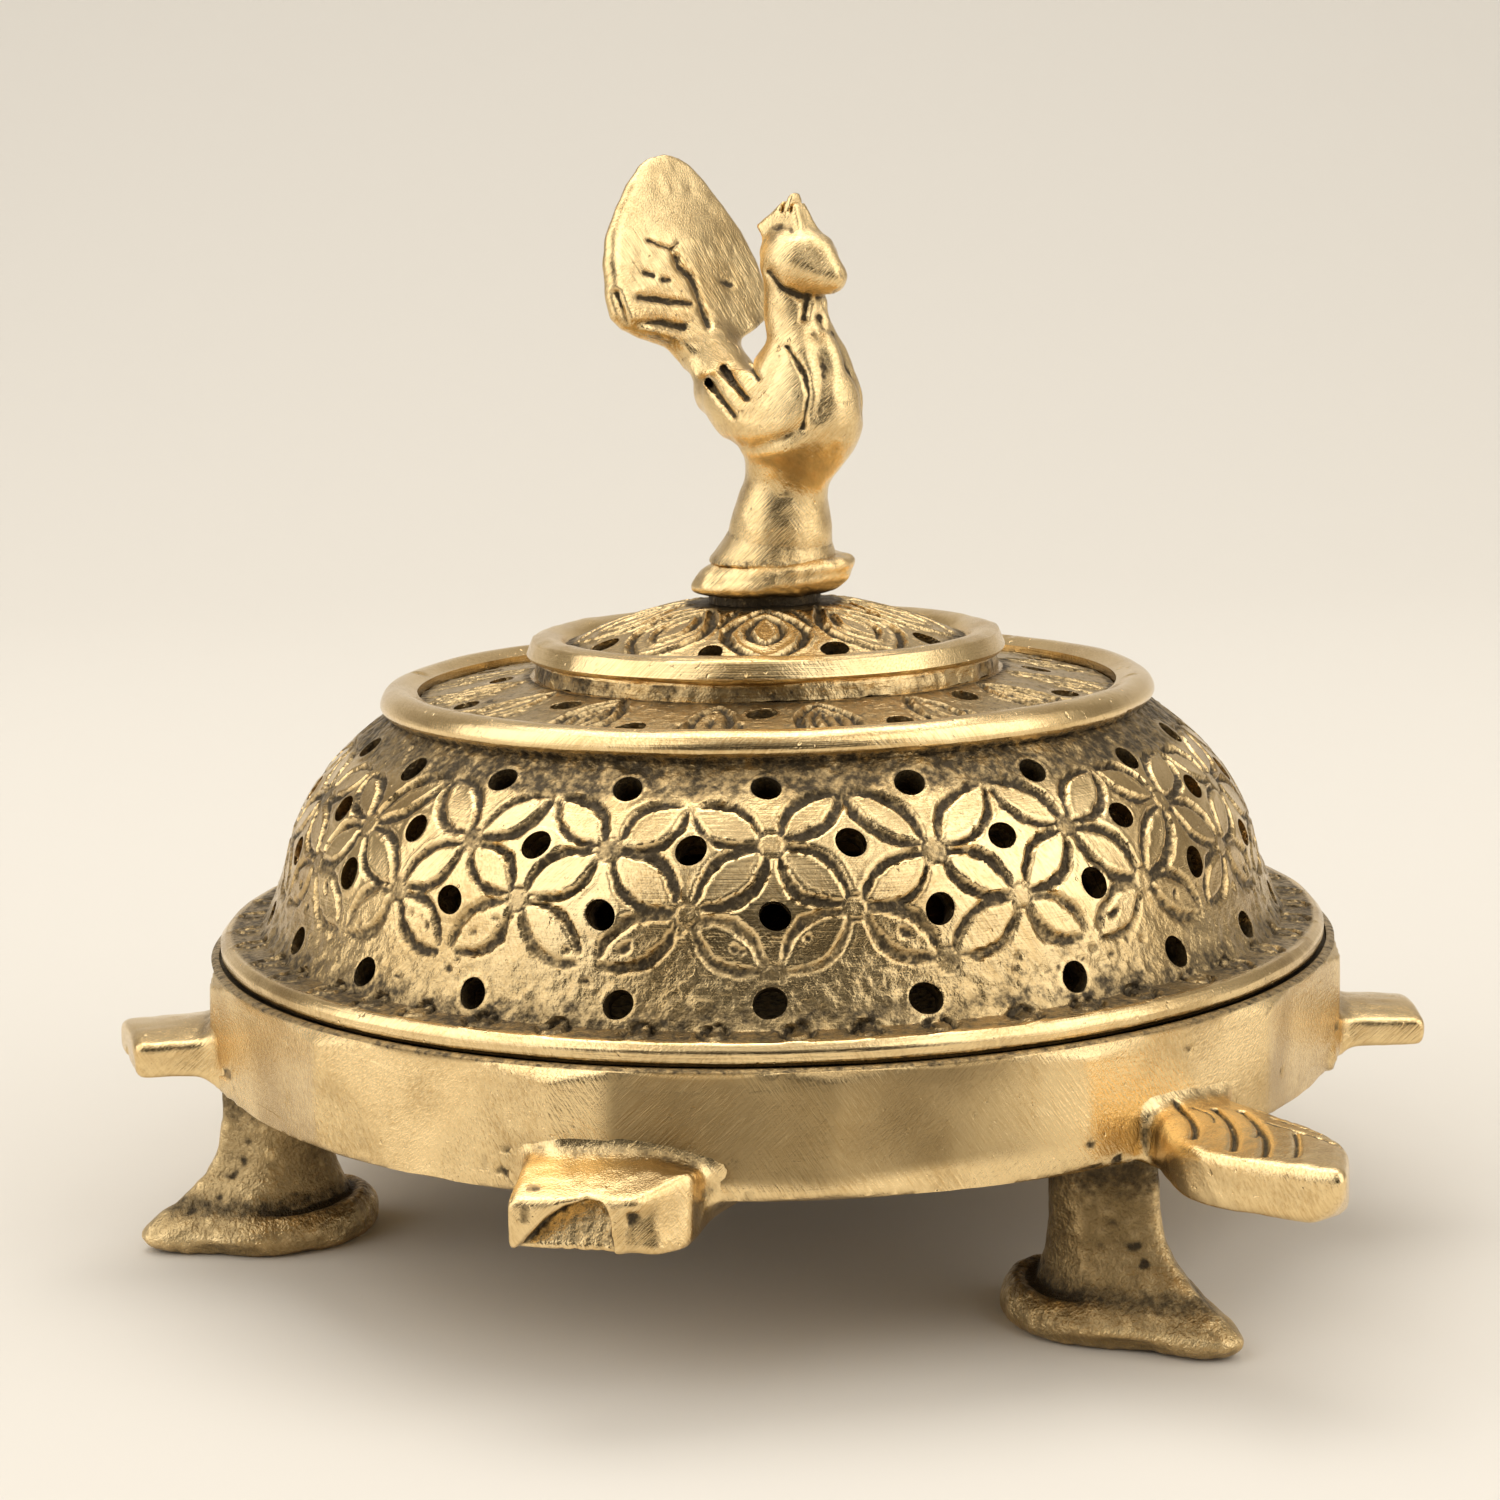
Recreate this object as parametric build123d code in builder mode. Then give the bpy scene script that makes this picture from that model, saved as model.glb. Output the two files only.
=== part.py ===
from build123d import *
from math import cos, radians, sin
import os

os.makedirs("parts", exist_ok=True)

# Covered incense burner in the form of a tortoise: a round bowl with head, flippers and tail on
# three shoe-shaped feet, and a pierced lid in three tiers that carries a peacock as its handle.
# Millimetres. +Z is up, the soles stand at z = 0, the bowl's axis is the Z axis and the head
# points to -Y. An azimuth is counted from the head's direction towards +X.

# ---------------------------------------------------------------- driving dimensions
LID_RADIUS = 62.0           # edge of the lid's flange; the lid is 124 across
SEAT_Z = 32.0               # flat seat between bowl and lid
BOWL_BOTTOM_Z = 10.4        # lowest point of the bowl's underside
BOWL_RADIUS = 64.7          # widest part of the bowl
BOWL_WALL = 3.2
MOUTH_RADIUS = 58.6         # inside of the bowl's rim

HEAD_REACH = 87.0           # from the axis to the tip of the head; the tail reaches as far back

LID_TURN = -38.5            # the pierced lattice is turned this far from the head
VENT_RADIUS = 1.6           # drilled vent holes, 1/8 inch
LATTICE_COUNT = 20          # vents in each row of the lattice on the lid
LATTICE_STEP = 360 / LATTICE_COUNT
DECK_VENTS = 16
CROWN_VENTS = 9

RING_INNER = 39.1           # inside edge of the lid's lower ring
DECK_THICKNESS = 2.0
CROWN_RADIUS = 26.0         # skirt of the upper ring
NECK_RADIUS = 6.3           # boss that the finial stands on
NECK_TOP_Z = 70.2

FINIAL_HEADING = 6.5        # where the peacock looks, from the head towards +X
STUD_RADIUS = 2.5
RUNNING_GAP = 0.05          # radial clearance of the stud in the crown
SLIP_GAP = 0.1              # clearance between pieces that only rest in each other

FOOT_AZIMUTHS = {"foot_front": 0.0, "foot_rear_right": -119.0, "foot_rear_left": 120.0}
FOOT_CENTRES = {"foot_front": 56.5, "foot_rear_right": 58.5, "foot_rear_left": 58.5}
STEM_CENTRE = 55.2          # distance of each foot's stem from the axis
STEM_RADIUS = 6.0
SOLE_LENGTH = 28.0
SOLE_WIDTH = 22.0
SOLE_THICKNESS = 4.0
SCREW_CENTRE = 53.2         # distance of each foot's screw from the axis
SCREW_RADIUS = 1.95
PAD_Z = 21.6                # top of the spot-faced pads inside the bowl
PAD_RADIUS = 5.0
PAD_DEPTH = 2.8             # ends inside the bowl's wall

UP = (0, 0, 1)


def heading(azimuth):
    """Unit vector that points away from the axis at an azimuth."""
    return (sin(radians(azimuth)), -cos(radians(azimuth)), 0)


def level_plane(azimuth, distance, height):
    """Level plane at a distance from the axis, with its x direction pointing outwards."""
    out = heading(azimuth)
    origin = (out[0] * distance, out[1] * distance, height)
    return Plane(origin=origin, x_dir=out, z_dir=UP)


def vent_planes(count, first_azimuth, radius, height, tilt):
    """Planes square to a tier's surface, one for each vent of a row."""
    planes = []
    for index in range(count):
        azimuth = first_azimuth + index * 360 / count
        out = heading(azimuth)
        normal = (out[0] * cos(radians(tilt)), out[1] * cos(radians(tilt)), sin(radians(tilt)))
        origin = (out[0] * radius, out[1] * radius, height)
        planes.append(Plane(origin=origin, z_dir=normal))
    return planes


def save(piece, name):
    piece.part.label = name
    export_step(piece.part, f"parts/{name}.step")


# ---------------------------------------------------------------- bowl
# Outside of the bowl from the axis to the rim: a shallow dish that turns up into a round wall.
BOWL_OUTSIDE = [
    (0, BOWL_BOTTOM_Z),
    (20, 11.0),
    (38, 13.3),
    (52, 16.6),
    (60.2, 19.3),
    (63.8, 22.3),
    (BOWL_RADIUS, 25.8),
    (63.9, 29.4),
    (62.0, 31.4),
]
RIM_ROUND = 0.6
UNDERSIDE_START = (1, 0)
RIM_END = (-1, 1)
BOWL_INSIDE = [
    (MOUTH_RADIUS, 30.6),
    (60.4, 28.0),
    (61.0, 25.4),
    (59.8, 22.9),
    (56.6, 21.0),
    (50, 19.2),
    (38, 16.5),
    (20, 14.2),
    (0, BOWL_BOTTOM_Z + BOWL_WALL),
]

# The bowl's outline filled to the seat, which trims everything that is joined to its outside.
with BuildPart() as bowl_envelope:
    with BuildSketch(Plane.XZ):
        with BuildLine():
            Spline(*BOWL_OUTSIDE, tangents=(UNDERSIDE_START, RIM_END))
            Polyline(BOWL_OUTSIDE[-1], (BOWL_OUTSIDE[-1][0] - RIM_ROUND, SEAT_Z), (0, SEAT_Z),
                     BOWL_OUTSIDE[0])
        make_face()
    revolve(axis=Axis.Z)

with BuildPart() as bowl:
    with BuildSketch(Plane.XZ):
        with BuildLine():
            Spline(*BOWL_OUTSIDE, tangents=(UNDERSIDE_START, RIM_END))
            Polyline(BOWL_OUTSIDE[-1], (BOWL_OUTSIDE[-1][0] - RIM_ROUND, SEAT_Z),
                     (MOUTH_RADIUS, SEAT_Z), BOWL_INSIDE[0])
            Spline(*BOWL_INSIDE)
            Line(BOWL_INSIDE[-1], BOWL_OUTSIDE[0])
        make_face()
    revolve(axis=Axis.Z)
    # Spot-faced pads for the foot screws, kept inside the wall.
    for foot_name, azimuth in FOOT_AZIMUTHS.items():
        with BuildSketch(level_plane(azimuth, SCREW_CENTRE, PAD_Z)):
            Circle(PAD_RADIUS)
        extrude(amount=-PAD_DEPTH)
        with BuildSketch(level_plane(azimuth, SCREW_CENTRE, PAD_Z)):
            Circle(SCREW_RADIUS + SLIP_GAP)
        extrude(amount=-(PAD_Z - BOWL_BOTTOM_Z), mode=Mode.SUBTRACT)
save(bowl, "bowl")


# ---------------------------------------------------------------- head, flippers and tail
# name: azimuth, reach, top, thickness, half width at the root, half width at the tip
LOBES = {
    "head": (0.0, HEAD_REACH, 24.0, 5.6, 8.4, 5.6),
    "flipper_front_right": (-53.0, 74.0, 22.8, 5.8, 8.0, 6.6),
    "flipper_front_left": (43.0, 72.5, 24.4, 4.6, 7.2, 5.8),
    "flipper_rear_right": (-115.5, 74.0, 25.8, 4.4, 7.4, 6.0),
    "flipper_rear_left": (115.5, 74.0, 25.8, 4.4, 7.4, 6.0),
    "tail": (180.0, HEAD_REACH, 24.0, 4.6, 6.4, 2.4),
}
LOBE_ROOT = 56.0            # inside the bowl's outline, before trimming
LOBE_EDGE = 1.1             # rounding of the edges
lobe_solids = []

for lobe_name, (azimuth, reach, top, thickness, root, tip) in LOBES.items():
    shoulder = LOBE_ROOT + 0.62 * (reach - LOBE_ROOT)
    with BuildPart() as lobe:
        with BuildSketch(level_plane(azimuth, 0, top)):
            with BuildLine():
                Polyline((shoulder, -0.94 * root), (LOBE_ROOT, -root), (LOBE_ROOT, root),
                         (shoulder, 0.94 * root))
                Line((shoulder, 0.94 * root), (reach - 1.5, tip))
                ThreePointArc((reach - 1.5, tip), (reach, 0), (reach - 1.5, -tip))
                Line((reach - 1.5, -tip), (shoulder, -0.94 * root))
            make_face()
        extrude(amount=-thickness)
        fillet(lobe.edges().filter_by(Axis.Z).sort_by_distance((0, 0, top))[-2:], radius=1.8)
        fillet(lobe.faces().sort_by(Axis.Z)[-1].edges(), radius=LOBE_EDGE)
        add(bowl_envelope.part, mode=Mode.SUBTRACT)
    lobe_solids.append(lobe.part)
    save(lobe, lobe_name)


# ---------------------------------------------------------------- feet with their screws
WASHER_RADIUS = 4.0
WASHER_THICKNESS = 0.8
SCREW_HEAD_RADIUS = 3.4
SCREW_HEAD_HEIGHT = 2.4
SCREW_TIP_Z = 8.0
SCREW_SLOT_WIDTH = 0.9
SCREW_SLOT_DEPTH = 1.0
FLARE_TOP_Z = 13.0          # where the foot's flare becomes a plain stem
STEM_LENGTH = 10.0          # before trimming
# Sections of the flare from the sole upwards: distance behind the sole's centre, height and the
# two radii.
FLARE_SECTIONS = [(0.3, SOLE_THICKNESS - 0.5, 11.8, 8.8), (1.0, 7.4, 9.0, 7.4)]

for foot_name, azimuth in FOOT_AZIMUTHS.items():
    centre = FOOT_CENTRES[foot_name]
    with BuildPart() as foot:
        with BuildSketch(level_plane(azimuth, centre, 0)):
            Ellipse(SOLE_LENGTH / 2, SOLE_WIDTH / 2)
        extrude(amount=SOLE_THICKNESS)
        fillet(foot.edges(), radius=1.5)
        for behind, height, length_radius, width_radius in FLARE_SECTIONS:
            with BuildSketch(level_plane(azimuth, centre - behind, height)):
                Ellipse(length_radius, width_radius)
        with BuildSketch(level_plane(azimuth, STEM_CENTRE, FLARE_TOP_Z)):
            Ellipse(STEM_RADIUS + 0.2, STEM_RADIUS)
        loft()
        with BuildSketch(level_plane(azimuth, STEM_CENTRE, FLARE_TOP_Z - 0.3)):
            Circle(STEM_RADIUS)
        extrude(amount=STEM_LENGTH)
        # The stem ends on the bowl and, where a limb stands above it, under that limb.
        add([bowl_envelope.part] + lobe_solids, mode=Mode.SUBTRACT)
        with BuildSketch(level_plane(azimuth, SCREW_CENTRE, SCREW_TIP_Z - 1)):
            Circle(SCREW_RADIUS)
        extrude(amount=STEM_LENGTH + 4, mode=Mode.SUBTRACT)
    save(foot, foot_name)

with BuildPart() as foot_washers:
    for foot_name, azimuth in FOOT_AZIMUTHS.items():
        with BuildSketch(level_plane(azimuth, SCREW_CENTRE, PAD_Z)):
            Circle(WASHER_RADIUS)
            Circle(SCREW_RADIUS + SLIP_GAP, mode=Mode.SUBTRACT)
        extrude(amount=WASHER_THICKNESS)
save(foot_washers, "foot_washers")

head_z = PAD_Z + WASHER_THICKNESS
with BuildPart() as foot_screws:
    for foot_name, azimuth in FOOT_AZIMUTHS.items():
        with BuildSketch(level_plane(azimuth, SCREW_CENTRE, SCREW_TIP_Z)):
            Circle(SCREW_RADIUS)
        extrude(amount=head_z - SCREW_TIP_Z)
        with BuildSketch(level_plane(azimuth, SCREW_CENTRE, head_z)):
            Circle(SCREW_HEAD_RADIUS)
        extrude(amount=SCREW_HEAD_HEIGHT)
        with BuildSketch(level_plane(azimuth, SCREW_CENTRE, head_z + SCREW_HEAD_HEIGHT)):
            Rectangle(2 * SCREW_HEAD_RADIUS + 1, SCREW_SLOT_WIDTH)
        extrude(amount=-SCREW_SLOT_DEPTH, mode=Mode.SUBTRACT)
save(foot_screws, "foot_screws")


# ---------------------------------------------------------------- lid: flange, dome and lower ring
FLANGE_TOP_Z = 34.2
VENT_DRILL_DEPTH = 7.0      # longer than any wall is thick
LIP_RADIUS = MOUTH_RADIUS - 1.0
LIP_BOTTOM_Z = SEAT_Z - 2.6
LEDGE_Z = 57.2              # ledge inside the ring that the deck lies on
LEDGE_RADIUS = 37.0
DOME_OUTSIDE = [
    (57.6, 34.4),
    (56.3, 36.8),
    (54.9, 40.8),
    (53.7, 45.2),
    (51.5, 49.4),
    (48.4, 53.1),
    (43.9, 56.8),
    (42.6, 57.8),
]
RING_OUTSIDE = [(42.6, 57.8), (43.5, 59.0), (42.9, 60.4), (41.2, 61.0), (RING_INNER, 60.2)]
DOME_INSIDE = [
    (LEDGE_RADIUS, 56.0),
    (41.8, 54.6),
    (46.3, 51.1),
    (49.3, 47.6),
    (51.2, 44.2),
    (52.5, 40.0),
    (54.0, 36.0),
    (55.4, 33.0),
]
# height, radius, tilt of the surface's normal, vents in the row, azimuth of the first vent
LID_VENTS = [
    (55.5, 45.5, 50, LATTICE_COUNT, LID_TURN),
    (50.5, 50.7, 36, LATTICE_COUNT, LID_TURN + LATTICE_STEP / 2),
    (44.7, 53.9, 16, LATTICE_COUNT, LID_TURN),
    (36.6, 56.4, 18, 23, LID_TURN),
]
with BuildPart() as lid_dome:
    with BuildSketch(Plane.XZ):
        with BuildLine():
            Polyline((55.4, 33.0), (55.4, LIP_BOTTOM_Z), (LIP_RADIUS, LIP_BOTTOM_Z),
                     (LIP_RADIUS, SEAT_Z), (LID_RADIUS - 0.3, SEAT_Z), (LID_RADIUS, SEAT_Z + 0.5),
                     (LID_RADIUS, 33.6), (LID_RADIUS - 0.6, FLANGE_TOP_Z), (57.6, 34.4))
            Spline(*DOME_OUTSIDE)
            Spline(*RING_OUTSIDE)
            Polyline((RING_INNER, 60.2), (RING_INNER, LEDGE_Z), (LEDGE_RADIUS, LEDGE_Z),
                     (LEDGE_RADIUS, 56.0))
            Spline(*DOME_INSIDE)
        make_face()
    revolve(axis=Axis.Z)
    for height, radius, tilt, count, first in LID_VENTS:
        with Locations(*vent_planes(count, first, radius, height, tilt)):
            Cylinder(VENT_RADIUS, VENT_DRILL_DEPTH, mode=Mode.SUBTRACT)
save(lid_dome, "lid_dome")


# ---------------------------------------------------------------- lid: deck inside the lower ring
DECK_EDGE_Z = LEDGE_Z + DECK_THICKNESS
DECK_SEAT_Z = 61.4          # flat round the deck's hole, which the crown stands on
DECK_HOLE_RADIUS = 23.8
DECK_SLOPE = 81             # tilt of the deck's normal
DECK_VENT_RADII = [29.9, 35.2]
with BuildPart() as lid_deck:
    with BuildSketch(Plane.XZ):
        with BuildLine():
            Polyline((RING_INNER - SLIP_GAP, LEDGE_Z), (RING_INNER - SLIP_GAP, DECK_EDGE_Z),
                     (CROWN_RADIUS + 0.4, DECK_SEAT_Z), (DECK_HOLE_RADIUS, DECK_SEAT_Z),
                     (DECK_HOLE_RADIUS, DECK_SEAT_Z - DECK_THICKNESS), (LEDGE_RADIUS, LEDGE_Z),
                     close=True)
        make_face()
    revolve(axis=Axis.Z)
    for index, radius in enumerate(DECK_VENT_RADII):
        first = LID_TURN + index * 360 / DECK_VENTS
        with Locations(*vent_planes(DECK_VENTS // 2, first, radius, 60.2, DECK_SLOPE)):
            Cylinder(VENT_RADIUS, VENT_DRILL_DEPTH, mode=Mode.SUBTRACT)
save(lid_deck, "lid_deck")


# ---------------------------------------------------------------- lid: crown with the upper ring
CROWN_UNDERSIDE_Z = 66.9    # flat that the finial's washer runs under
with BuildPart() as lid_crown:
    with BuildSketch(Plane.XZ):
        with BuildLine():
            Polyline((23.4, DECK_SEAT_Z), (CROWN_RADIUS, DECK_SEAT_Z), (25.7, 63.6))
            Spline((25.7, 63.6), (26.7, 64.4), (26.3, 65.5), (24.8, 65.9), (22.9, 65.3))
            Line((22.9, 65.3), (22.5, 64.7))
            Spline((22.5, 64.7), (17.7, 66.7), (11.5, 68.5), (7.8, 69.1))
            Polyline((7.8, 69.1), (NECK_RADIUS, 69.1), (NECK_RADIUS, NECK_TOP_Z),
                     (STUD_RADIUS + RUNNING_GAP, NECK_TOP_Z),
                     (STUD_RADIUS + RUNNING_GAP, CROWN_UNDERSIDE_Z), (7.6, CROWN_UNDERSIDE_Z))
            Spline((7.6, CROWN_UNDERSIDE_Z), (11.5, 66.5), (17.2, 64.8), (22.0, 62.8),
                   (23.4, DECK_SEAT_Z))
        make_face()
    revolve(axis=Axis.Z)
    with Locations(*vent_planes(CROWN_VENTS, LID_TURN + 180 / CROWN_VENTS, 20.2, 65.6, 68)):
        Cylinder(VENT_RADIUS, VENT_DRILL_DEPTH, mode=Mode.SUBTRACT)
save(lid_crown, "lid_crown")


# ---------------------------------------------------------------- finial: collar, peacock and stud
COLLAR_RADIUS = 9.3
COLLAR_OFFSET = 1.2         # the collar stands a little ahead of the stud
COLLAR_TOP_Z = 74.0
STUD_TOP_Z = 75.4
WASHER_TOP_Z = CROWN_UNDERSIDE_Z - SLIP_GAP
NUT_TOP_Z = WASHER_TOP_Z - 0.9
WASHER_OUTER_RADIUS = 5.6
NUT_HEIGHT = 2.6
NUT_SIZE = 4.6              # hexagon, centre to corner
STUD_BOTTOM_Z = NUT_TOP_Z - NUT_HEIGHT - 0.8

with BuildPart() as finial_collar:
    with BuildSketch(level_plane(FINIAL_HEADING, COLLAR_OFFSET, NECK_TOP_Z)):
        Circle(COLLAR_RADIUS)
    extrude(amount=COLLAR_TOP_Z - NECK_TOP_Z)
    fillet(finial_collar.edges(), radius=1.2)
    with BuildSketch(Plane.XY.offset(NECK_TOP_Z)):
        Circle(STUD_RADIUS)
    extrude(amount=COLLAR_TOP_Z - NECK_TOP_Z, mode=Mode.SUBTRACT)
save(finial_collar, "finial_collar")

# Rising through the pedestal, body and neck: distance ahead of the axis, height, radius.
PEACOCK_COLUMN = [
    (2.0, COLLAR_TOP_Z, 7.4),
    (2.8, 76.2, 5.6),
    (3.4, 80.0, 4.5),
    (4.0, 84.0, 4.6),
    (5.2, 88.0, 6.2),
    (6.0, 92.0, 7.0),
    (6.2, 96.0, 5.8),
    (6.2, 100.0, 3.8),
    (5.6, 103.5, 3.4),
]
HEAD_CENTRE = (5.6, 107.0)
HEAD_RADIUS = 4.4
BEAK_CENTRE = (11.0, 105.6)
BEAK_LENGTH = 4.0
CREST_CENTRE = (4.4, 111.6)
CREST_HEIGHT = 4.6
# Sections of the stalk that carries the fan: distance ahead of the axis, height, the two radii.
STALK_SECTIONS = [(3.0, 88.0, 5.0, 5.0), (-4.0, 93.6, 4.6, 4.4), (-7.8, 98.4, 2.6, 4.6)]
FAN_HALF_WIDTH = 12.2
FAN_BASE_Z = 96.6
FAN_TIP_Z = 118.2
FAN_THICKNESS = 2.2
FAN_LEAN = 21.0             # the fan leans back by this angle
FAN_FOOT = -7.2             # distance of the fan's lower end ahead of the axis

fan_out = heading(FINIAL_HEADING)
fan_side = (-fan_out[1], fan_out[0], 0)
fan_normal = (
    fan_out[0] * cos(radians(FAN_LEAN)),
    fan_out[1] * cos(radians(FAN_LEAN)),
    sin(radians(FAN_LEAN)),
)
fan_origin = (fan_out[0] * FAN_FOOT, fan_out[1] * FAN_FOOT, FAN_BASE_Z)
fan_plane = Plane(origin=fan_origin, x_dir=fan_side, z_dir=fan_normal)
fan_height = (FAN_TIP_Z - FAN_BASE_Z) / cos(radians(FAN_LEAN)) - 0.5

with BuildPart() as peacock:
    for distance, height, radius in PEACOCK_COLUMN:
        with BuildSketch(level_plane(FINIAL_HEADING, distance, height)):
            Circle(radius)
    loft()
    with Locations(level_plane(FINIAL_HEADING, HEAD_CENTRE[0], HEAD_CENTRE[1])):
        Sphere(HEAD_RADIUS)
    # Beak, pointing ahead and a little down.
    with Locations(level_plane(FINIAL_HEADING, *BEAK_CENTRE)):
        Cone(1.0, 2.6, BEAK_LENGTH, rotation=(0, -80, 0))
    # Crest on the top of the head.
    with Locations(level_plane(FINIAL_HEADING, *CREST_CENTRE)):
        Cone(1.6, 0.7, CREST_HEIGHT, rotation=(0, -14, 0))
    for distance, height, length_radius, width_radius in STALK_SECTIONS:
        with BuildSketch(level_plane(FINIAL_HEADING, distance, height)):
            Ellipse(length_radius, width_radius)
    loft()
    # Leaf-shaped fan, a slab that stands across the heading.
    with BuildSketch(fan_plane.offset(-FAN_THICKNESS / 2)):
        with BuildLine():
            for side in (-1, 1):
                Spline((0, fan_height), (side * 0.62 * FAN_HALF_WIDTH, 0.74 * fan_height),
                       (side * FAN_HALF_WIDTH, 0.3 * fan_height),
                       (side * 0.55 * FAN_HALF_WIDTH, 0.03 * fan_height), (0, 0))
        make_face()
    extrude(amount=FAN_THICKNESS)
    with BuildSketch(Plane.XY.offset(COLLAR_TOP_Z)):
        Circle(STUD_RADIUS)
    extrude(amount=STUD_TOP_Z - COLLAR_TOP_Z, mode=Mode.SUBTRACT)
save(peacock, "peacock")

with BuildPart() as finial_stud:
    with BuildSketch(Plane.XY.offset(STUD_BOTTOM_Z)):
        Circle(STUD_RADIUS)
    extrude(amount=STUD_TOP_Z - STUD_BOTTOM_Z)
    chamfer(finial_stud.edges().sort_by(Axis.Z)[0], length=0.4)
save(finial_stud, "finial_stud")

with BuildPart() as finial_washer:
    with BuildSketch(Plane.XY.offset(NUT_TOP_Z)):
        Circle(WASHER_OUTER_RADIUS)
        Circle(STUD_RADIUS + SLIP_GAP, mode=Mode.SUBTRACT)
    extrude(amount=WASHER_TOP_Z - NUT_TOP_Z)
save(finial_washer, "finial_washer")

with BuildPart() as finial_nut:
    with BuildSketch(Plane.XY.offset(NUT_TOP_Z - NUT_HEIGHT)):
        RegularPolygon(radius=NUT_SIZE, side_count=6)
        Circle(STUD_RADIUS, mode=Mode.SUBTRACT)
    extrude(amount=NUT_HEIGHT)
save(finial_nut, "finial_nut")
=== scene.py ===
import math

import bpy
import numpy as np
from mathutils import Matrix, Vector


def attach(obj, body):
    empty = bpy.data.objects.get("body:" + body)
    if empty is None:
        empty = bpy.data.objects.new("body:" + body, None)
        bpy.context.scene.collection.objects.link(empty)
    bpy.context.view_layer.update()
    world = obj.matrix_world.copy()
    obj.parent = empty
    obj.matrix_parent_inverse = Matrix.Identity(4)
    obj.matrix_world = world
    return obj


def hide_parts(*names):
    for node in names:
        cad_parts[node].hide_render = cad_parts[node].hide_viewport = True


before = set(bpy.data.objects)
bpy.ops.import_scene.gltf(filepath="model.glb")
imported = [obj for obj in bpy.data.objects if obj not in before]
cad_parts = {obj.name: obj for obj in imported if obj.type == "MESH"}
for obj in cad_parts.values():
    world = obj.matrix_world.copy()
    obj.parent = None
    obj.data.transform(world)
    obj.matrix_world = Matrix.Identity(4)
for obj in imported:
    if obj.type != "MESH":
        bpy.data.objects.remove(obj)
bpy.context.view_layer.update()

# Covered brass incense burner: a tortoise bowl on three shoe feet, a pierced lid in three tiers
# and a peacock finial. Shapes are worked out in millimetres in the row frame, as in the CAD part:
# soles at z = 0, the bowl's axis is the Z axis, the head points to -Y, and an azimuth is counted
# from the head towards +X.

MM = 0.001
SEAT_Z = 32.0
LIMB_AZIMUTH = {"head": 0.0, "flipper_front_right": -53.0, "flipper_front_left": 43.0,
                "flipper_rear_right": -115.5, "flipper_rear_left": 115.5, "tail": 180.0}
FOOT_AZIMUTH = {"foot_front": 0.0, "foot_rear_right": -119.0, "foot_rear_left": 120.0}
LID_TURN = -38.5
LID_BODY = "lid"
BOWL_BODY = "bowl"
FINIAL_BODY = "finial"


# ---------------------------------------------------------------- numbers
def smoothstep(low, high, value):
    part = np.clip((value - low) / (high - low), 0.0, 1.0)
    return part * part * (3 - 2 * part)


def hashed(cells, seed):
    """Repeatable number from 0 to 1 for each whole-number cell."""
    mixed = cells[..., 0] * 73856093 ^ cells[..., 1] * 19349663
    mixed = mixed ^ cells[..., 2] * 83492791 ^ (seed * 9176 + 77)
    mixed = (mixed ^ (mixed >> 13)) * 1274126177
    mixed = mixed & 0x7FFFFFFF
    return ((mixed ^ (mixed >> 15)) & 0xFFFF) / 65535.0


def noise(points, size, seed):
    """Smooth noise from -1 to 1 whose lumps are about size millimetres across."""
    scaled = np.asarray(points, float) / size
    base = np.floor(scaled).astype(np.int64)
    part = scaled - base
    part = part * part * (3 - 2 * part)
    total = np.zeros(scaled.shape[:-1])
    for corner in range(8):
        offset = np.array([corner & 1, (corner >> 1) & 1, corner >> 2])
        weight = np.prod(np.where(offset == 1, part, 1 - part), axis=-1)
        total += weight * hashed(base + offset, seed)
    return 2 * total - 1


def layered(points, size, seed, octaves=3):
    """Noise with finer and finer lumps added."""
    total = 0.0
    for octave in range(octaves):
        total = total + noise(points, size / 2**octave, seed + 11 * octave) / 2**octave
    return total / 1.6


def smin(a, b, k):
    """Union of two fields with a fillet of about k."""
    h = np.clip(0.5 + 0.5 * (b - a) / k, 0.0, 1.0)
    return b + (a - b) * h - k * h * (1 - h)


def smax(a, b, k):
    """Intersection of two fields with a rounded edge of about k."""
    return -smin(-a, -b, k)


def trimmed(solid, *cuts):
    """Keeps a solid to the inside of other fields, each given with the rounding of its edge."""
    for field, k in cuts:
        solid = smax(solid, field, k)
    return solid


def grown(solid, *parts):
    """Adds other fields to a solid, each given with its fillet."""
    for field, k in parts:
        solid = smin(solid, field, k)
    return solid


def heading(azimuth):
    return np.array([math.sin(math.radians(azimuth)), -math.cos(math.radians(azimuth)), 0.0])


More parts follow.
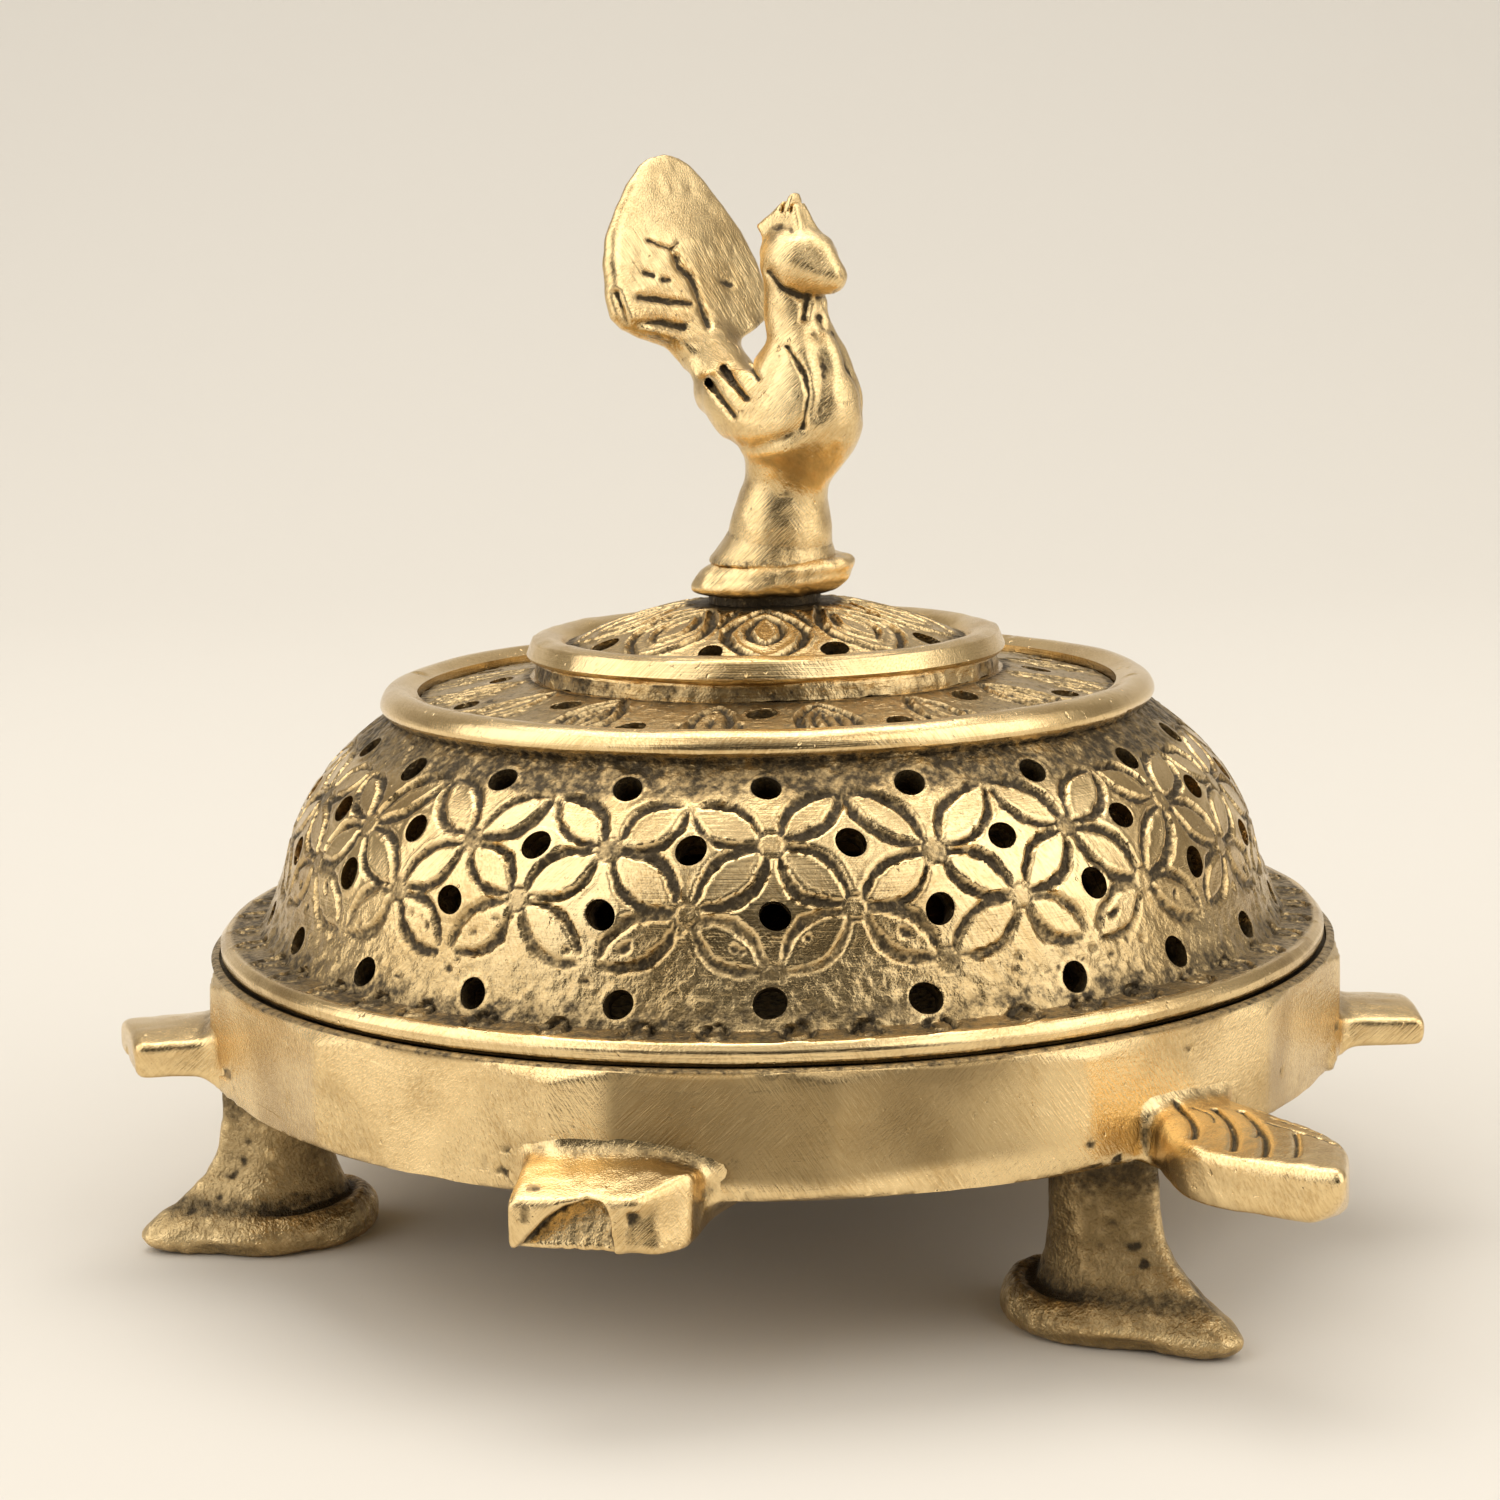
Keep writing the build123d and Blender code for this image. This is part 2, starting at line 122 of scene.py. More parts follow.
# ---------------------------------------------------------------- meshes
def mesh_piece(name, points, faces, node, body, material, marks, sharp=50.0):
    """Makes an object from points in millimetres and three- or four-sided faces, and stands it
    for a CAD node. Marks are numbers kept at each point for the material."""
    corners = np.concatenate([f.ravel() for f in faces]).astype(np.int32)
    sides = np.concatenate([np.full(len(f), f.shape[1]) for f in faces]).astype(np.int32)
    starts = np.concatenate([[0], np.cumsum(sides)[:-1]]).astype(np.int32)
    mesh = bpy.data.meshes.new(name)
    mesh.vertices.add(len(points))
    mesh.vertices.foreach_set("co", (points * MM).astype(np.float32).ravel())
    mesh.loops.add(len(corners))
    mesh.loops.foreach_set("vertex_index", corners)
    mesh.polygons.add(len(sides))
    mesh.polygons.foreach_set("loop_start", starts)
    mesh.update(calc_edges=True)
    mesh.polygons.foreach_set("use_smooth", np.ones(len(sides), bool))
    for mark, values in marks.items():
        attribute = mesh.attributes.new(mark, "FLOAT", "POINT")
        attribute.data.foreach_set("value", values.astype(np.float32).ravel())
    mesh.set_sharp_from_angle(angle=math.radians(sharp))
    mesh.materials.append(material)
    piece = bpy.data.objects.new(name, mesh)
    bpy.context.scene.collection.objects.link(piece)
    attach(piece, body)
    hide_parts(node)
    return piece


def outward(points, faces):
    """Turns faces round if the closed skin that they make is inside out."""
    volume = 0.0
    for group in faces:
        a, b, c = points[group[:, 0]], points[group[:, 1]], points[group[:, 2]]
        volume += np.einsum("ij,ij->i", a, np.cross(b, c)).sum()
        if group.shape[1] == 4:
            d = points[group[:, 3]]
            volume += np.einsum("ij,ij->i", a, np.cross(c, d)).sum()
    return faces if volume > 0 else [group[:, ::-1] for group in faces]


def point_normals(points, quads):
    across = np.cross(points[quads[:, 2]] - points[quads[:, 0]],
                      points[quads[:, 3]] - points[quads[:, 1]])
    normals = np.zeros_like(points)
    for corner in range(4):
        for axis in range(3):
            normals[:, axis] += np.bincount(quads[:, corner], across[:, axis], len(points))
    return normals / np.maximum(np.linalg.norm(normals, axis=1, keepdims=True), 1e-9)


def hollows(points, quads, normals, rounds):
    """How far each point lies below (+) or above (-) its smoothed surroundings, in mm."""
    ends = np.concatenate([quads[:, [0, 1]], quads[:, [1, 2]], quads[:, [2, 3]], quads[:, [3, 0]]])
    count = np.maximum(np.bincount(ends[:, 0], minlength=len(points)), 1)
    smooth = points.copy()
    for _ in range(rounds):
        sums = [np.bincount(ends[:, 0], smooth[ends[:, 1], axis], len(points))
                for axis in range(3)]
        smooth = 0.5 * smooth + 0.5 * np.stack(sums, 1) / count[:, None]
    return np.einsum("ij,ij->i", smooth - points, normals)


# ---------------------------------------------------------------- skins of solid fields
def skin(field, low, step):
    """Four-sided faces on the surface where a field sampled on a grid passes through zero."""
    closed = np.full(field.shape, step)
    closed[1:-1, 1:-1, 1:-1] = field[1:-1, 1:-1, 1:-1]
    field = closed
    cells = np.array(field.shape) - 1
    owners, spots, turned = [], [], []
    for axis in range(3):
        first, second = [slice(None)] * 3, [slice(None)] * 3
        first[axis], second[axis] = slice(0, -1), slice(1, None)
        a, b = field[tuple(first)], field[tuple(second)]
        at = np.argwhere((a < 0) != (b < 0))
        va, vb = a[tuple(at.T)], b[tuple(at.T)]
        spot = at.astype(float)
        spot[:, axis] += va / (va - vb)
        ring = []
        for d1, d2 in ((0, 0), (1, 0), (1, 1), (0, 1)):
            cell = at.copy()
            cell[:, (axis + 1) % 3] -= d1
            cell[:, (axis + 2) % 3] -= d2
            ring.append(np.ravel_multi_index(tuple(cell.T), tuple(cells)))
        owners.append(np.stack(ring, 1))
        spots.append(spot)
        turned.append(va < 0)
    owners = np.concatenate(owners)
    spots = np.concatenate(spots)
    turned = np.concatenate(turned)
    used, index = np.unique(owners.ravel(), return_inverse=True)
    quads = index.reshape(-1, 4)
    count = np.bincount(quads.ravel(), minlength=len(used))
    points = np.zeros((len(used), 3))
    for axis in range(3):
        points[:, axis] = np.bincount(quads.ravel(), np.repeat(spots[:, axis], 4), len(used))
    points = points / count[:, None] * step + np.array(low)
    quads[~turned] = quads[~turned][:, ::-1]
    return points, outward(points, [quads])[0]


def grid(low, high, step):
    """Coordinates of a grid of sample points, as three arrays."""
    axes = [np.arange(low[k], high[k] + step, step) for k in range(3)]
    return np.meshgrid(*axes, indexing="ij")


def capsule(x, y, z, a, b, ra, rb):
    """Rod between points a and b whose radius changes from ra to rb."""
    a, b = np.array(a, float), np.array(b, float)
    d = b - a
    part = ((x - a[0]) * d[0] + (y - a[1]) * d[1] + (z - a[2]) * d[2]) / (d @ d)
    part = np.clip(part, 0, 1)
    gap = np.sqrt((x - a[0] - part * d[0]) ** 2 + (y - a[1] - part * d[1]) ** 2
                  + (z - a[2] - part * d[2]) ** 2)
    return gap - (ra + (rb - ra) * part)


def ellipsoid(x, y, z, centre, radii):
    q = np.sqrt(((x - centre[0]) / radii[0]) ** 2 + ((y - centre[1]) / radii[1]) ** 2
                + ((z - centre[2]) / radii[2]) ** 2)
    return (q - 1) * min(radii)


def line_gap(a, b, line):
    """Distance of points (a, b) from a line of points in their plane."""
    best = None
    for (a0, b0), (a1, b1) in zip(line[:-1], line[1:]):
        da, db = a1 - a0, b1 - b0
        part = np.clip(((a - a0) * da + (b - b0) * db) / (da * da + db * db), 0, 1)
        gap = np.hypot(a - a0 - part * da, b - b0 - part * db)
        best = gap if best is None else np.minimum(best, gap)
    return best


def bent(start, middle, finish, count=9):
    """Points along a smooth bend through three points."""
    line = []
    for t in np.linspace(0, 1, count):
        weights = ((1 - t) * (1 - 2 * t), 4 * t * (1 - t), t * (2 * t - 1))
        line.append(tuple(sum(w * p[k] for w, p in zip(weights, (start, middle, finish)))
                          for k in (0, 1)))
    return line


def carved(solid, a, b, line, width, depth, where=1.0):
    """Sinks a soft line into a solid, seen along the direction that a and b leave out."""
    return solid + depth * np.exp(-(line_gap(a, b, line) / width) ** 2) * where


# ---------------------------------------------------------------- profiles of turned pieces
def straight(points, step):
    """Points along straight lines, no further apart than step."""
    made = [np.array(points[0], float)[None]]
    for a, b in zip(points[:-1], points[1:]):
        a, b = np.array(a, float), np.array(b, float)
        count = max(1, int(math.ceil(np.linalg.norm(b - a) / step)))
        part = np.linspace(0, 1, count + 1)[1:, None]
        made.append(a + (b - a) * part)
    return np.concatenate(made)


def through(points, step):
    """Points at even distances along a smooth curve through the given ones."""
    p = np.array(points, float)
    p = np.concatenate([[2 * p[0] - p[1]], p, [2 * p[-1] - p[-2]]])
    t = np.linspace(0, 1, 24, endpoint=False)[:, None]
    fine = []
    for k in range(1, len(p) - 2):
        a, b, c, d = p[k - 1], p[k], p[k + 1], p[k + 2]
        fine.append(0.5 * (2 * b + (c - a) * t + (2 * a - 5 * b + 4 * c - d) * t**2
                           + (3 * b - a - 3 * c + d) * t**3))
    fine = np.concatenate(fine + [p[-2][None]])
    reach = np.concatenate([[0], np.cumsum(np.linalg.norm(np.diff(fine, axis=0), axis=1))])
    count = max(2, int(math.ceil(reach[-1] / step)))
    at = np.linspace(0, reach[-1], count + 1)
    return np.stack([np.interp(at, reach, fine[:, 0]), np.interp(at, reach, fine[:, 1])], 1)


def joined(*lines):
    """One line from several that follow each other, with shared ends kept once."""
    made = [lines[0]]
    for line in lines[1:]:
        touching = np.linalg.norm(line[0] - made[-1][-1]) < 1e-6
        made.append(line[1:] if touching else line)
    return np.concatenate(made)


class Turned:
    """A closed outline turned about the Z axis, with carved relief and drilled holes."""

    # Furthest from a hole's centre, in mm, that its drill cuts, and where its inner edge starts.
    DRILL_REACH = 4.2
    INNER_EDGE = -0.9
    # Burrs are left off points that are sunk deeper than this, in mm.
    BURR_DEPTH = -0.12

    def __init__(self, outline, columns):
        self.outline = outline
        self.columns = columns
        self.turn = 2 * math.pi * np.arange(columns) / columns
        ahead = np.roll(outline, -1, 0) - outline
        self.along = np.concatenate([[0], np.cumsum(np.linalg.norm(ahead, axis=1))[:-1]])
        tangent = np.roll(outline, -1, 0) - np.roll(outline, 1, 0)
        tangent /= np.linalg.norm(tangent, axis=1, keepdims=True)
        self.normal = np.stack([tangent[:, 1], -tangent[:, 0]], 1)
        self.height = np.zeros((columns, len(outline)))
        self.burr = np.zeros((columns, len(outline)))
        self.grime_and_shade = np.zeros((columns, len(outline)))
        self.tarnish_and_shade = np.zeros((columns, len(outline)))
        self.holes = []
        spots = self.spots()
        self.jag = 0.17 * noise(spots, 0.9, 7) + 0.10 * noise(spots, 0.45, 12)
        self.floor = 1 + 0.35 * noise(spots, 0.8, 14) + 0.25 * noise(spots, 0.42, 15)

    def darken(self, grime_and_shade):
        """Darkens the points that aren't yet as dark."""
        self.grime_and_shade = np.maximum(self.grime_and_shade, grime_and_shade)

    def spots(self):
        """Places of all points before the relief is added."""
        r, z = self.outline[:, 0], self.outline[:, 1]
        return np.stack([np.sin(self.turn)[:, None] * r, -np.cos(self.turn)[:, None] * r,
                         np.ones(self.columns)[:, None] * z], -1)

    def along_at(self, value, rows, axis):
        """Distance along the outline where its radius (axis 0) or height (axis 1) is a value."""
        part = self.outline[rows, axis]
        reach = self.along[rows]
        order = np.argsort(part)
        return float(np.interp(value, part[order], reach[order]))

    def window(self, azimuths, reaches, margin):
        """Columns and rows round a mark, and their millimetre offsets from its first point."""
        middle = 0.5 * (min(reaches) + max(reaches))
        radius = max(float(np.interp(middle, self.along, self.outline[:, 0])), 4.0)
        low = math.floor((min(azimuths) - margin / radius) / (2 * math.pi) * self.columns)
        high = math.ceil((max(azimuths) + margin / radius) / (2 * math.pi) * self.columns)
        columns = np.arange(low, high + 1)
        rows = np.nonzero((self.along > min(reaches) - margin)
                          & (self.along < max(reaches) + margin))[0]
        x = (columns / self.columns * 2 * math.pi)[:, None] * self.outline[rows, 0][None, :]
        y = np.ones(len(columns))[:, None] * self.along[rows][None, :]
        return columns % self.columns, rows, x, y

    def groove(self, line, half_width, depth, wall=0.34, burr=0.07, grime_and_shade=1.0, fade=None):
        """Carves a groove along a line of (azimuth in radians, distance along the outline)."""
        line = np.array(line, float)
        columns, rows, x, y = self.window(line[:, 0], line[:, 1], half_width + 1.2)
        if len(rows) == 0:
            return
        radius = self.outline[rows, 0][None, :]
        best = np.full(x.shape, 1e9)
        place = np.zeros(x.shape)
        count = len(line) - 1
        for index in range(count):
            ax, ay = line[index, 0] * radius, line[index, 1]
            dx = (line[index + 1, 0] - line[index, 0]) * radius
            dy = line[index + 1, 1] - line[index, 1]
            part = np.clip(((x - ax) * dx + (y - ay) * dy) / (dx * dx + dy * dy + 1e-12), 0, 1)
            gap = np.hypot(x - ax - part * dx, y - ay - part * dy)
            closer = gap < best
            best = np.where(closer, gap, best)
            place = np.where(closer, (index + part) / count, place)
        taper = 0.45 + 0.55 * np.clip(np.sin(np.clip(place, 0, 1) * math.pi), 0, 1) ** 0.6
        width = half_width * taper
        cell = np.ix_(columns, rows)
        best = best + self.jag[cell]
        cut = smoothstep(0, wall, width + 0.12 - best)
        strength = 1.0 if fade is None else fade
        sunk = -depth * strength * cut * taper * self.floor[cell]
        self.height[cell] = np.minimum(self.height[cell], sunk)
        edge = np.exp(-((best - width - 0.3) / 0.2) ** 2) * strength
        self.burr[cell] = np.maximum(self.burr[cell], burr * edge)
        self.grime_and_shade[cell] = np.maximum(self.grime_and_shade[cell], grime_and_shade * strength * cut)

    def dot(self, azimuth, reach, radius, depth, dome, grime_and_shade):
        """Stamps a round node: a ring groove round a small flat dome."""
        columns, rows, x, y = self.window([azimuth], [reach], radius + 1.0)
        if len(rows) == 0:
            return
        gap = np.hypot(x - azimuth * self.outline[rows, 0][None, :], y - reach)
        ring = np.exp(-((gap - radius) / 0.2) ** 2)
        inside = smoothstep(radius, radius - 0.35, gap)
        cell = np.ix_(columns, rows)
        old = self.height[cell]
        self.height[cell] = np.where(gap < radius, -0.5 * depth * inside + dome * inside, old)
        self.height[cell] = np.minimum(self.height[cell], np.where(ring > 0.3, -depth * ring, 9))
        marked = np.maximum(0.75 * ring, grime_and_shade * inside)
        self.grime_and_shade[cell] = np.where(gap < radius, marked, np.maximum(self.grime_and_shade[cell], marked))

    def drill(self, azimuth, reach, radius, squash=0.06):
        """Drills a hole square to the surface."""
        r = float(np.interp(reach, self.along, self.outline[:, 0]))
        z = float(np.interp(reach, self.along, self.outline[:, 1]))
        nr = float(np.interp(reach, self.along, self.normal[:, 0]))
        nz = float(np.interp(reach, self.along, self.normal[:, 1]))
        out = np.array([math.sin(azimuth), -math.cos(azimuth), 0.0])
        centre = out * r + np.array([0, 0, z])
        axis = out * nr + np.array([0, 0, nz])
        axis /= np.linalg.norm(axis)
        self.holes.append((centre, axis, radius, squash))
        columns, rows, x, y = self.window([azimuth], [reach], radius + 1.2)
        gap = np.hypot(x - azimuth * self.outline[rows, 0][None, :], y - reach)
        cell = np.ix_(columns, rows)
        near = smoothstep(radius + 0.9, radius + 0.4, gap)
        self.height[cell] *= 1 - near
        rim = np.exp(-((gap - radius - 0.22) / 0.22) ** 2)
        self.burr[cell] = np.maximum(self.burr[cell], 0.05 * rim)
        self.grime_and_shade[cell] *= 1 - 0.35 * rim

    def piece(self, name, node, body, slot, material, wear=None):
        """Builds the object: relief added, holes cut through and their walls closed."""
        rows = len(self.outline)
        lift = self.height + self.burr * (self.height > self.BURR_DEPTH)
        out = np.stack([np.sin(self.turn), -np.cos(self.turn)], 1)
        r = self.outline[None, :, 0] + lift * self.normal[None, :, 0]
        z = self.outline[None, :, 1] + lift * self.normal[None, :, 1]
        points = np.stack([out[:, 0:1] * r, out[:, 1:2] * r, z], -1).reshape(-1, 3)
        column, row = np.meshgrid(np.arange(self.columns), np.arange(rows), indexing="ij")
        beyond = (column + 1) % self.columns
        above = (row + 1) % rows
        quads = np.stack([column * rows + row, beyond * rows + row,
                          beyond * rows + above, column * rows + above], -1).reshape(-1, 4)
        grime_and_shade = self.grime_and_shade.ravel().copy()
        keep = np.ones(len(quads), bool)
        walls = []
        spin = np.random.default_rng(len(self.holes) + 5)
        for centre, axis, radius, squash in self.holes:
            near = np.nonzero(np.abs(points - centre).max(1) < radius + 6)[0]
            away = points[near] - centre
            depth = away @ axis
            flat = away - depth[:, None] * axis
            side = np.cross(axis, [0.0, 0.0, 1.0])
            side /= np.linalg.norm(side)
            up = np.cross(side, axis)
            angle = np.arctan2(flat @ up, flat @ side)
            limit = radius * (1 + squash * np.cos(2 * (angle - spin.uniform(0, 3.1))))
            gap = np.linalg.norm(flat, axis=1)
            inside = np.zeros(len(points), bool)
            inside[near] = (gap < limit) & (np.abs(depth) < self.DRILL_REACH)
            touched = np.nonzero(inside[quads].any(1))[0]
            gone = touched[inside[quads[touched]].all(1)]
            part = np.setdiff1d(touched, gone)
            keep[gone] = False
            snapped = np.intersect1d(np.unique(quads[part]), np.nonzero(inside)[0])
            place = np.searchsorted(near, snapped)
            stretch = (limit[place] / np.maximum(gap[place], 1e-6))[:, None]
            points[snapped] = (centre + depth[place, None] * axis + flat[place] * stretch)
            edge = np.intersect1d(np.unique(quads[gone]), snapped)
            place = np.searchsorted(near, edge)
            outer, inner = [], []
            for vertex, where in zip(edge, place):
                ring = outer if depth[where] > self.INNER_EDGE else inner
                ring.append((angle[where], vertex))
            walls += bridge(sorted(outer), sorted(inner))
            # Painted shade: the inner edge of each hole's wall is made fully dark.
            grime_and_shade[[vertex for _, vertex in inner]] = 1.0
        faces = [quads[keep]]
        if walls:
            faces.append(np.array(walls))
        faces = outward(points, faces)
        used = np.zeros(len(points), bool)
        for group in faces:
            used[group.ravel()] = True
        index = np.cumsum(used) - 1
        faces = [index[group] for group in faces]
        wear = np.zeros(len(points)) if wear is None else wear.ravel()
        marks = {"grime_and_shade": grime_and_shade[used], "wear": wear[used], "tarnish_and_shade": self.tarnish_and_shade.ravel()[used]}
        return mesh_piece(name, points[used], faces, node, body, material, marks)


def bridge(outer, inner):
    """Triangles between two rings of (angle, point number) that face each other."""
    if len(outer) < 3 or len(inner) < 3:
        return []
    made = []
    count, other = len(outer), len(inner)
    shift = min(range(other), key=lambda k: abs(math.remainder(inner[k][0] - outer[0][0],
                                                               2 * math.pi)))
    inner = inner[shift:] + inner[:shift]
    i = j = 0
    while i < count or j < other:
        if j >= other or (i < count and (i + 1) / count <= (j + 1) / other):
            made.append((outer[i % count][1], outer[(i + 1) % count][1], inner[j % other][1]))
            i += 1
        else:
            made.append((outer[i % count][1], inner[(j + 1) % other][1], inner[j % other][1]))
            j += 1
    return made


# ---------------------------------------------------------------- materials
class Value:
    """Output of a shader node that can be added, taken away and multiplied like a number."""

    def __init__(self, shader, socket):
        self.shader, self.socket = shader, socket

    def __add__(self, other):
        return self.shader.math("ADD", self, other)

    def __sub__(self, other):
        return self.shader.math("SUBTRACT", self, other)

    def __mul__(self, other):
        return self.shader.math("MULTIPLY", self, other)

    def clamped(self):
        self.socket.node.use_clamp = True
        return self


class Shader:
    """Small helper that adds and joins a material's nodes."""

    def __init__(self, name):
        self.material = bpy.data.materials.new(name)
        self.material.use_nodes = True
        self.tree = self.material.node_tree
        self.tree.nodes.clear()

    def node(self, kind, inputs, output=0, **settings):
        """Adds a node, sets or joins its inputs, and returns one of its outputs."""
        node = self.tree.nodes.new(kind)
        for key, value in settings.items():
            setattr(node, key, value)
        for socket, value in inputs.items():
            if isinstance(value, Value):
                self.tree.links.new(value.socket, node.inputs[socket])
            else:
                node.inputs[socket].default_value = value
        return Value(self, node.outputs[output]) if node.outputs else None

    def math(self, operation, a, b):
        return self.node("ShaderNodeMath", {0: a, 1: b}, operation=operation)

    def larger(self, a, b):
        return self.math("MAXIMUM", a, b)

    def vector(self, x, y, z):
        return self.node("ShaderNodeCombineXYZ", {0: x, 1: y, 2: z})

    def noise(self, vector, scale, detail, rough=0.5):
        return self.node("ShaderNodeTexNoise", {"Vector": vector, "Scale": scale,
                                                "Detail": detail, "Roughness": rough}, "Fac")

    def ramp(self, value, low, high):
        return self.node("ShaderNodeMapRange", {"Value": value, "From Min": low, "From Max": high},
                         "Result", interpolation_type="SMOOTHSTEP")

    def blend(self, factor, a, b):
        return self.node("ShaderNodeMix", {0: factor, 6: a, 7: b}, 2, data_type="RGBA")

    def attribute(self, name):
        return self.node("ShaderNodeAttribute", {}, "Fac", attribute_name=name)

    def finished(self, inputs):
        """Ends the material with a principled surface that has these inputs."""
        body = self.node("ShaderNodeBsdfPrincipled", inputs)
        self.node("ShaderNodeOutputMaterial", {"Surface": body})
        return self.material


BRASS_LIGHT = (0.87, 0.66, 0.35, 1)
BRASS_DEEP = (0.62, 0.42, 0.18, 1)
PATINA_DARK = (0.060, 0.043, 0.022, 1)
PATINA_BROWN = (0.25, 0.175, 0.080, 1)


def brass(name, patina=0.0, rough=0.27, lathe=0.5, filed=0.5, darken=0.5, pits=0.3, speckle=1.6):
    """Cast brass, filed and lightly polished, with dark patina and painted shade where its point
    marks say so.
    lathe and filed are the strengths of scratches round the axis and across it."""
    s = Shader(name)
    metres = s.node("ShaderNodeTexCoord", {}, "Object")
    where = s.node("ShaderNodeVectorMath", {0: metres, 1: (1 / MM, 1 / MM, 1 / MM)},
                   operation="MULTIPLY")
    x, y, z = (s.node("ShaderNodeSeparateXYZ", {0: where}, axis) for axis in "XYZ")
    radius = s.math("SQRT", x * x + y * y, 0.0)
    grime_and_shade = s.attribute("grime_and_shade")
    mottle = s.noise(where, 0.09, 3.0)
    spots = s.noise(where, 1.15, 3.0, 0.65)
    grain = s.noise(where, 1.9, 2.0, 0.6)
    # Scratches that run round the axis, and others that run up and down or slantwise.
    level = z * 1.3 - radius * 0.8
    round_marks = s.noise(s.vector(x * 0.05, y * 0.05, level), 2.6, 3.0, 0.65)
    slant_marks = s.noise(s.vector(x + z * 0.55, y - z * 0.35, z * 0.07), 3.6, 3.0, 0.6)
    steep_marks = s.noise(s.vector(x - z * 0.8, y + z * 0.7, z * 0.07), 4.4, 3.0, 0.6)
    patch = s.ramp(s.noise(where, 0.05, 1.0), 0.42, 0.58)
    filed_marks = s.node("ShaderNodeMix", {0: patch, 2: slant_marks, 3: steep_marks},
                         data_type="FLOAT")

    # Patina and painted shade: point marks, broken up by noise, and thin general staining in
    # patches.
    broken = grime_and_shade + (spots - 0.5) * speckle
    deep = s.ramp(broken + patina * 0.2, 0.40, 0.98)
    thin = s.ramp(mottle * 0.9 + grain * 0.35, 0.52, 0.86) * darken
    thin = s.larger(thin, s.ramp(grime_and_shade, 0.05, 0.7) * 0.8)
    thin = s.larger(s.larger(thin, patina), s.attribute("tarnish_and_shade"))
    thin = (thin - s.attribute("wear") * 0.7).clamped()

    tone = mottle * 0.45 + filed_marks * 0.55
    bright = s.blend(s.ramp(tone, 0.40, 0.68), BRASS_LIGHT, BRASS_DEEP)
    colour = s.blend(deep, s.blend(thin, bright, PATINA_BROWN), PATINA_DARK)
    gloss = thin * 0.16 + rough + deep * 0.22 + (filed_marks - 0.5) * 0.16
    metal = s.math("SUBTRACT", 1.0, deep * 0.3)

    pit_field = s.ramp(s.noise(where, 0.85, 2.0, 0.7), 0.66, 0.78)
    fine = (round_marks - 0.5) * (0.24 * lathe) + (filed_marks - 0.5) * (0.20 * filed)
    crust = (grain - 0.5) * 0.5 * (grime_and_shade * 0.9 + (patina + 0.06))
    relief = fine - pit_field * (0.30 * pits) + crust
    bump = s.node("ShaderNodeBump", {"Strength": 0.85, "Distance": 0.0006, "Height": relief})
    return s.finished({"Base Color": colour, "Metallic": metal, "Roughness": gloss.clamped(),
                       "Normal": bump})


bowl_metal = brass("bowl_brass", rough=0.20, lathe=0.25, filed=1.3, darken=0.35, pits=0.35)
lid_metal = brass("lid_brass", rough=0.17, lathe=0.35, filed=0.25, darken=0.4, pits=0.4)
ring_metal = brass("tier_brass", rough=0.20, lathe=0.5, filed=0.3, darken=0.5, pits=0.4)
finial_metal = brass("finial_brass", rough=0.19, lathe=0.1, filed=0.8, darken=0.4, pits=0.6)
foot_metal = brass("foot_brass", patina=0.78, rough=0.28, lathe=0.2, filed=0.5, darken=0.9, pits=0.6,
                   speckle=0.8)
lobe_metal = brass("lobe_brass", rough=0.18, lathe=0.1, filed=0.6, darken=0.3, pits=0.35)
fastener_metal = brass("fastener_brass", patina=0.25, rough=0.33, lathe=0.5, filed=0.2, darken=0.7)


# ---------------------------------------------------------------- lid, lower tier
rng = np.random.default_rng(20)
VENT_RADIUS = 1.6
FINE = 0.30
DOME_COLUMNS = 1152
WALL_OUTLINE = [(57.6, 34.4), (56.3, 36.8), (54.9, 40.8), (53.7, 45.2), (51.5, 49.4),
                (48.4, 53.1), (43.9, 56.8), (42.6, 57.8)]
RING_OUTLINE = [(42.6, 57.8), (43.5, 59.0), (42.9, 60.4), (41.2, 61.0), (39.1, 60.2)]

dome_flange = joined(straight([(55.4, 33.0), (55.4, 29.4), (57.6, 29.4), (57.6, 32.0),
                               (61.7, 32.0)], 1.4),
                     straight([(61.7, 32.0), (62.0, 32.4), (62.0, 33.5), (61.4, 34.2)], 0.4),
                     straight([(61.4, 34.2), (57.6, 34.4)], FINE))
dome_wall = through(WALL_OUTLINE, FINE)
dome_ring = through(RING_OUTLINE, FINE)
dome_inside = joined(straight([(39.1, 60.2), (39.1, 57.2), (37.0, 57.2), (37.0, 56.0)], 1.0),
                     through([(37, 56.0), (41.8, 54.6), (46.3, 51.1), (49.3, 47.6), (51.2, 44.2),
                              (52.5, 40.0), (54.0, 36.0), (55.4, 33.0)], 1.0))
dome = Turned(joined(dome_flange, dome_wall, dome_ring, dome_inside)[:-1], DOME_COLUMNS)
wall_start = len(dome_flange) - 1
ring_start = wall_start + len(dome_wall) - 1
ring_end = ring_start + len(dome_ring) - 1
wall_rows = np.arange(wall_start, ring_start + 1)
flange_rows = np.arange(wall_start - int(3.8 / FINE), wall_start + 1)


def wall_reach(height):
    return dome.along_at(height, wall_rows, 1)


def arc(start, finish, bulge, radius, count=9):
    """Curved line between two (azimuth, reach) places that bulges sideways in mm."""
    start, finish = np.array(start, float), np.array(finish, float)
    span = finish - start
    flat = np.array([span[0] * radius, span[1]])
    side = np.array([-flat[1], flat[0]]) / np.linalg.norm(flat)
    line = []
    for t in np.linspace(0, 1, count):
        push = bulge * 4 * t * (1 - t)
        line.append((start[0] + span[0] * t + side[0] * push / radius,
                     start[1] + span[1] * t + side[1] * push))
    return line


FLOWERS = 20


def lid_azimuth(place, count, wander):
    """Azimuth in radians of one of count places round the lid, off it by a few degrees."""
    even = math.radians(LID_TURN) + 2 * math.pi * place / count
    return even + math.radians(rng.normal(0, wander))


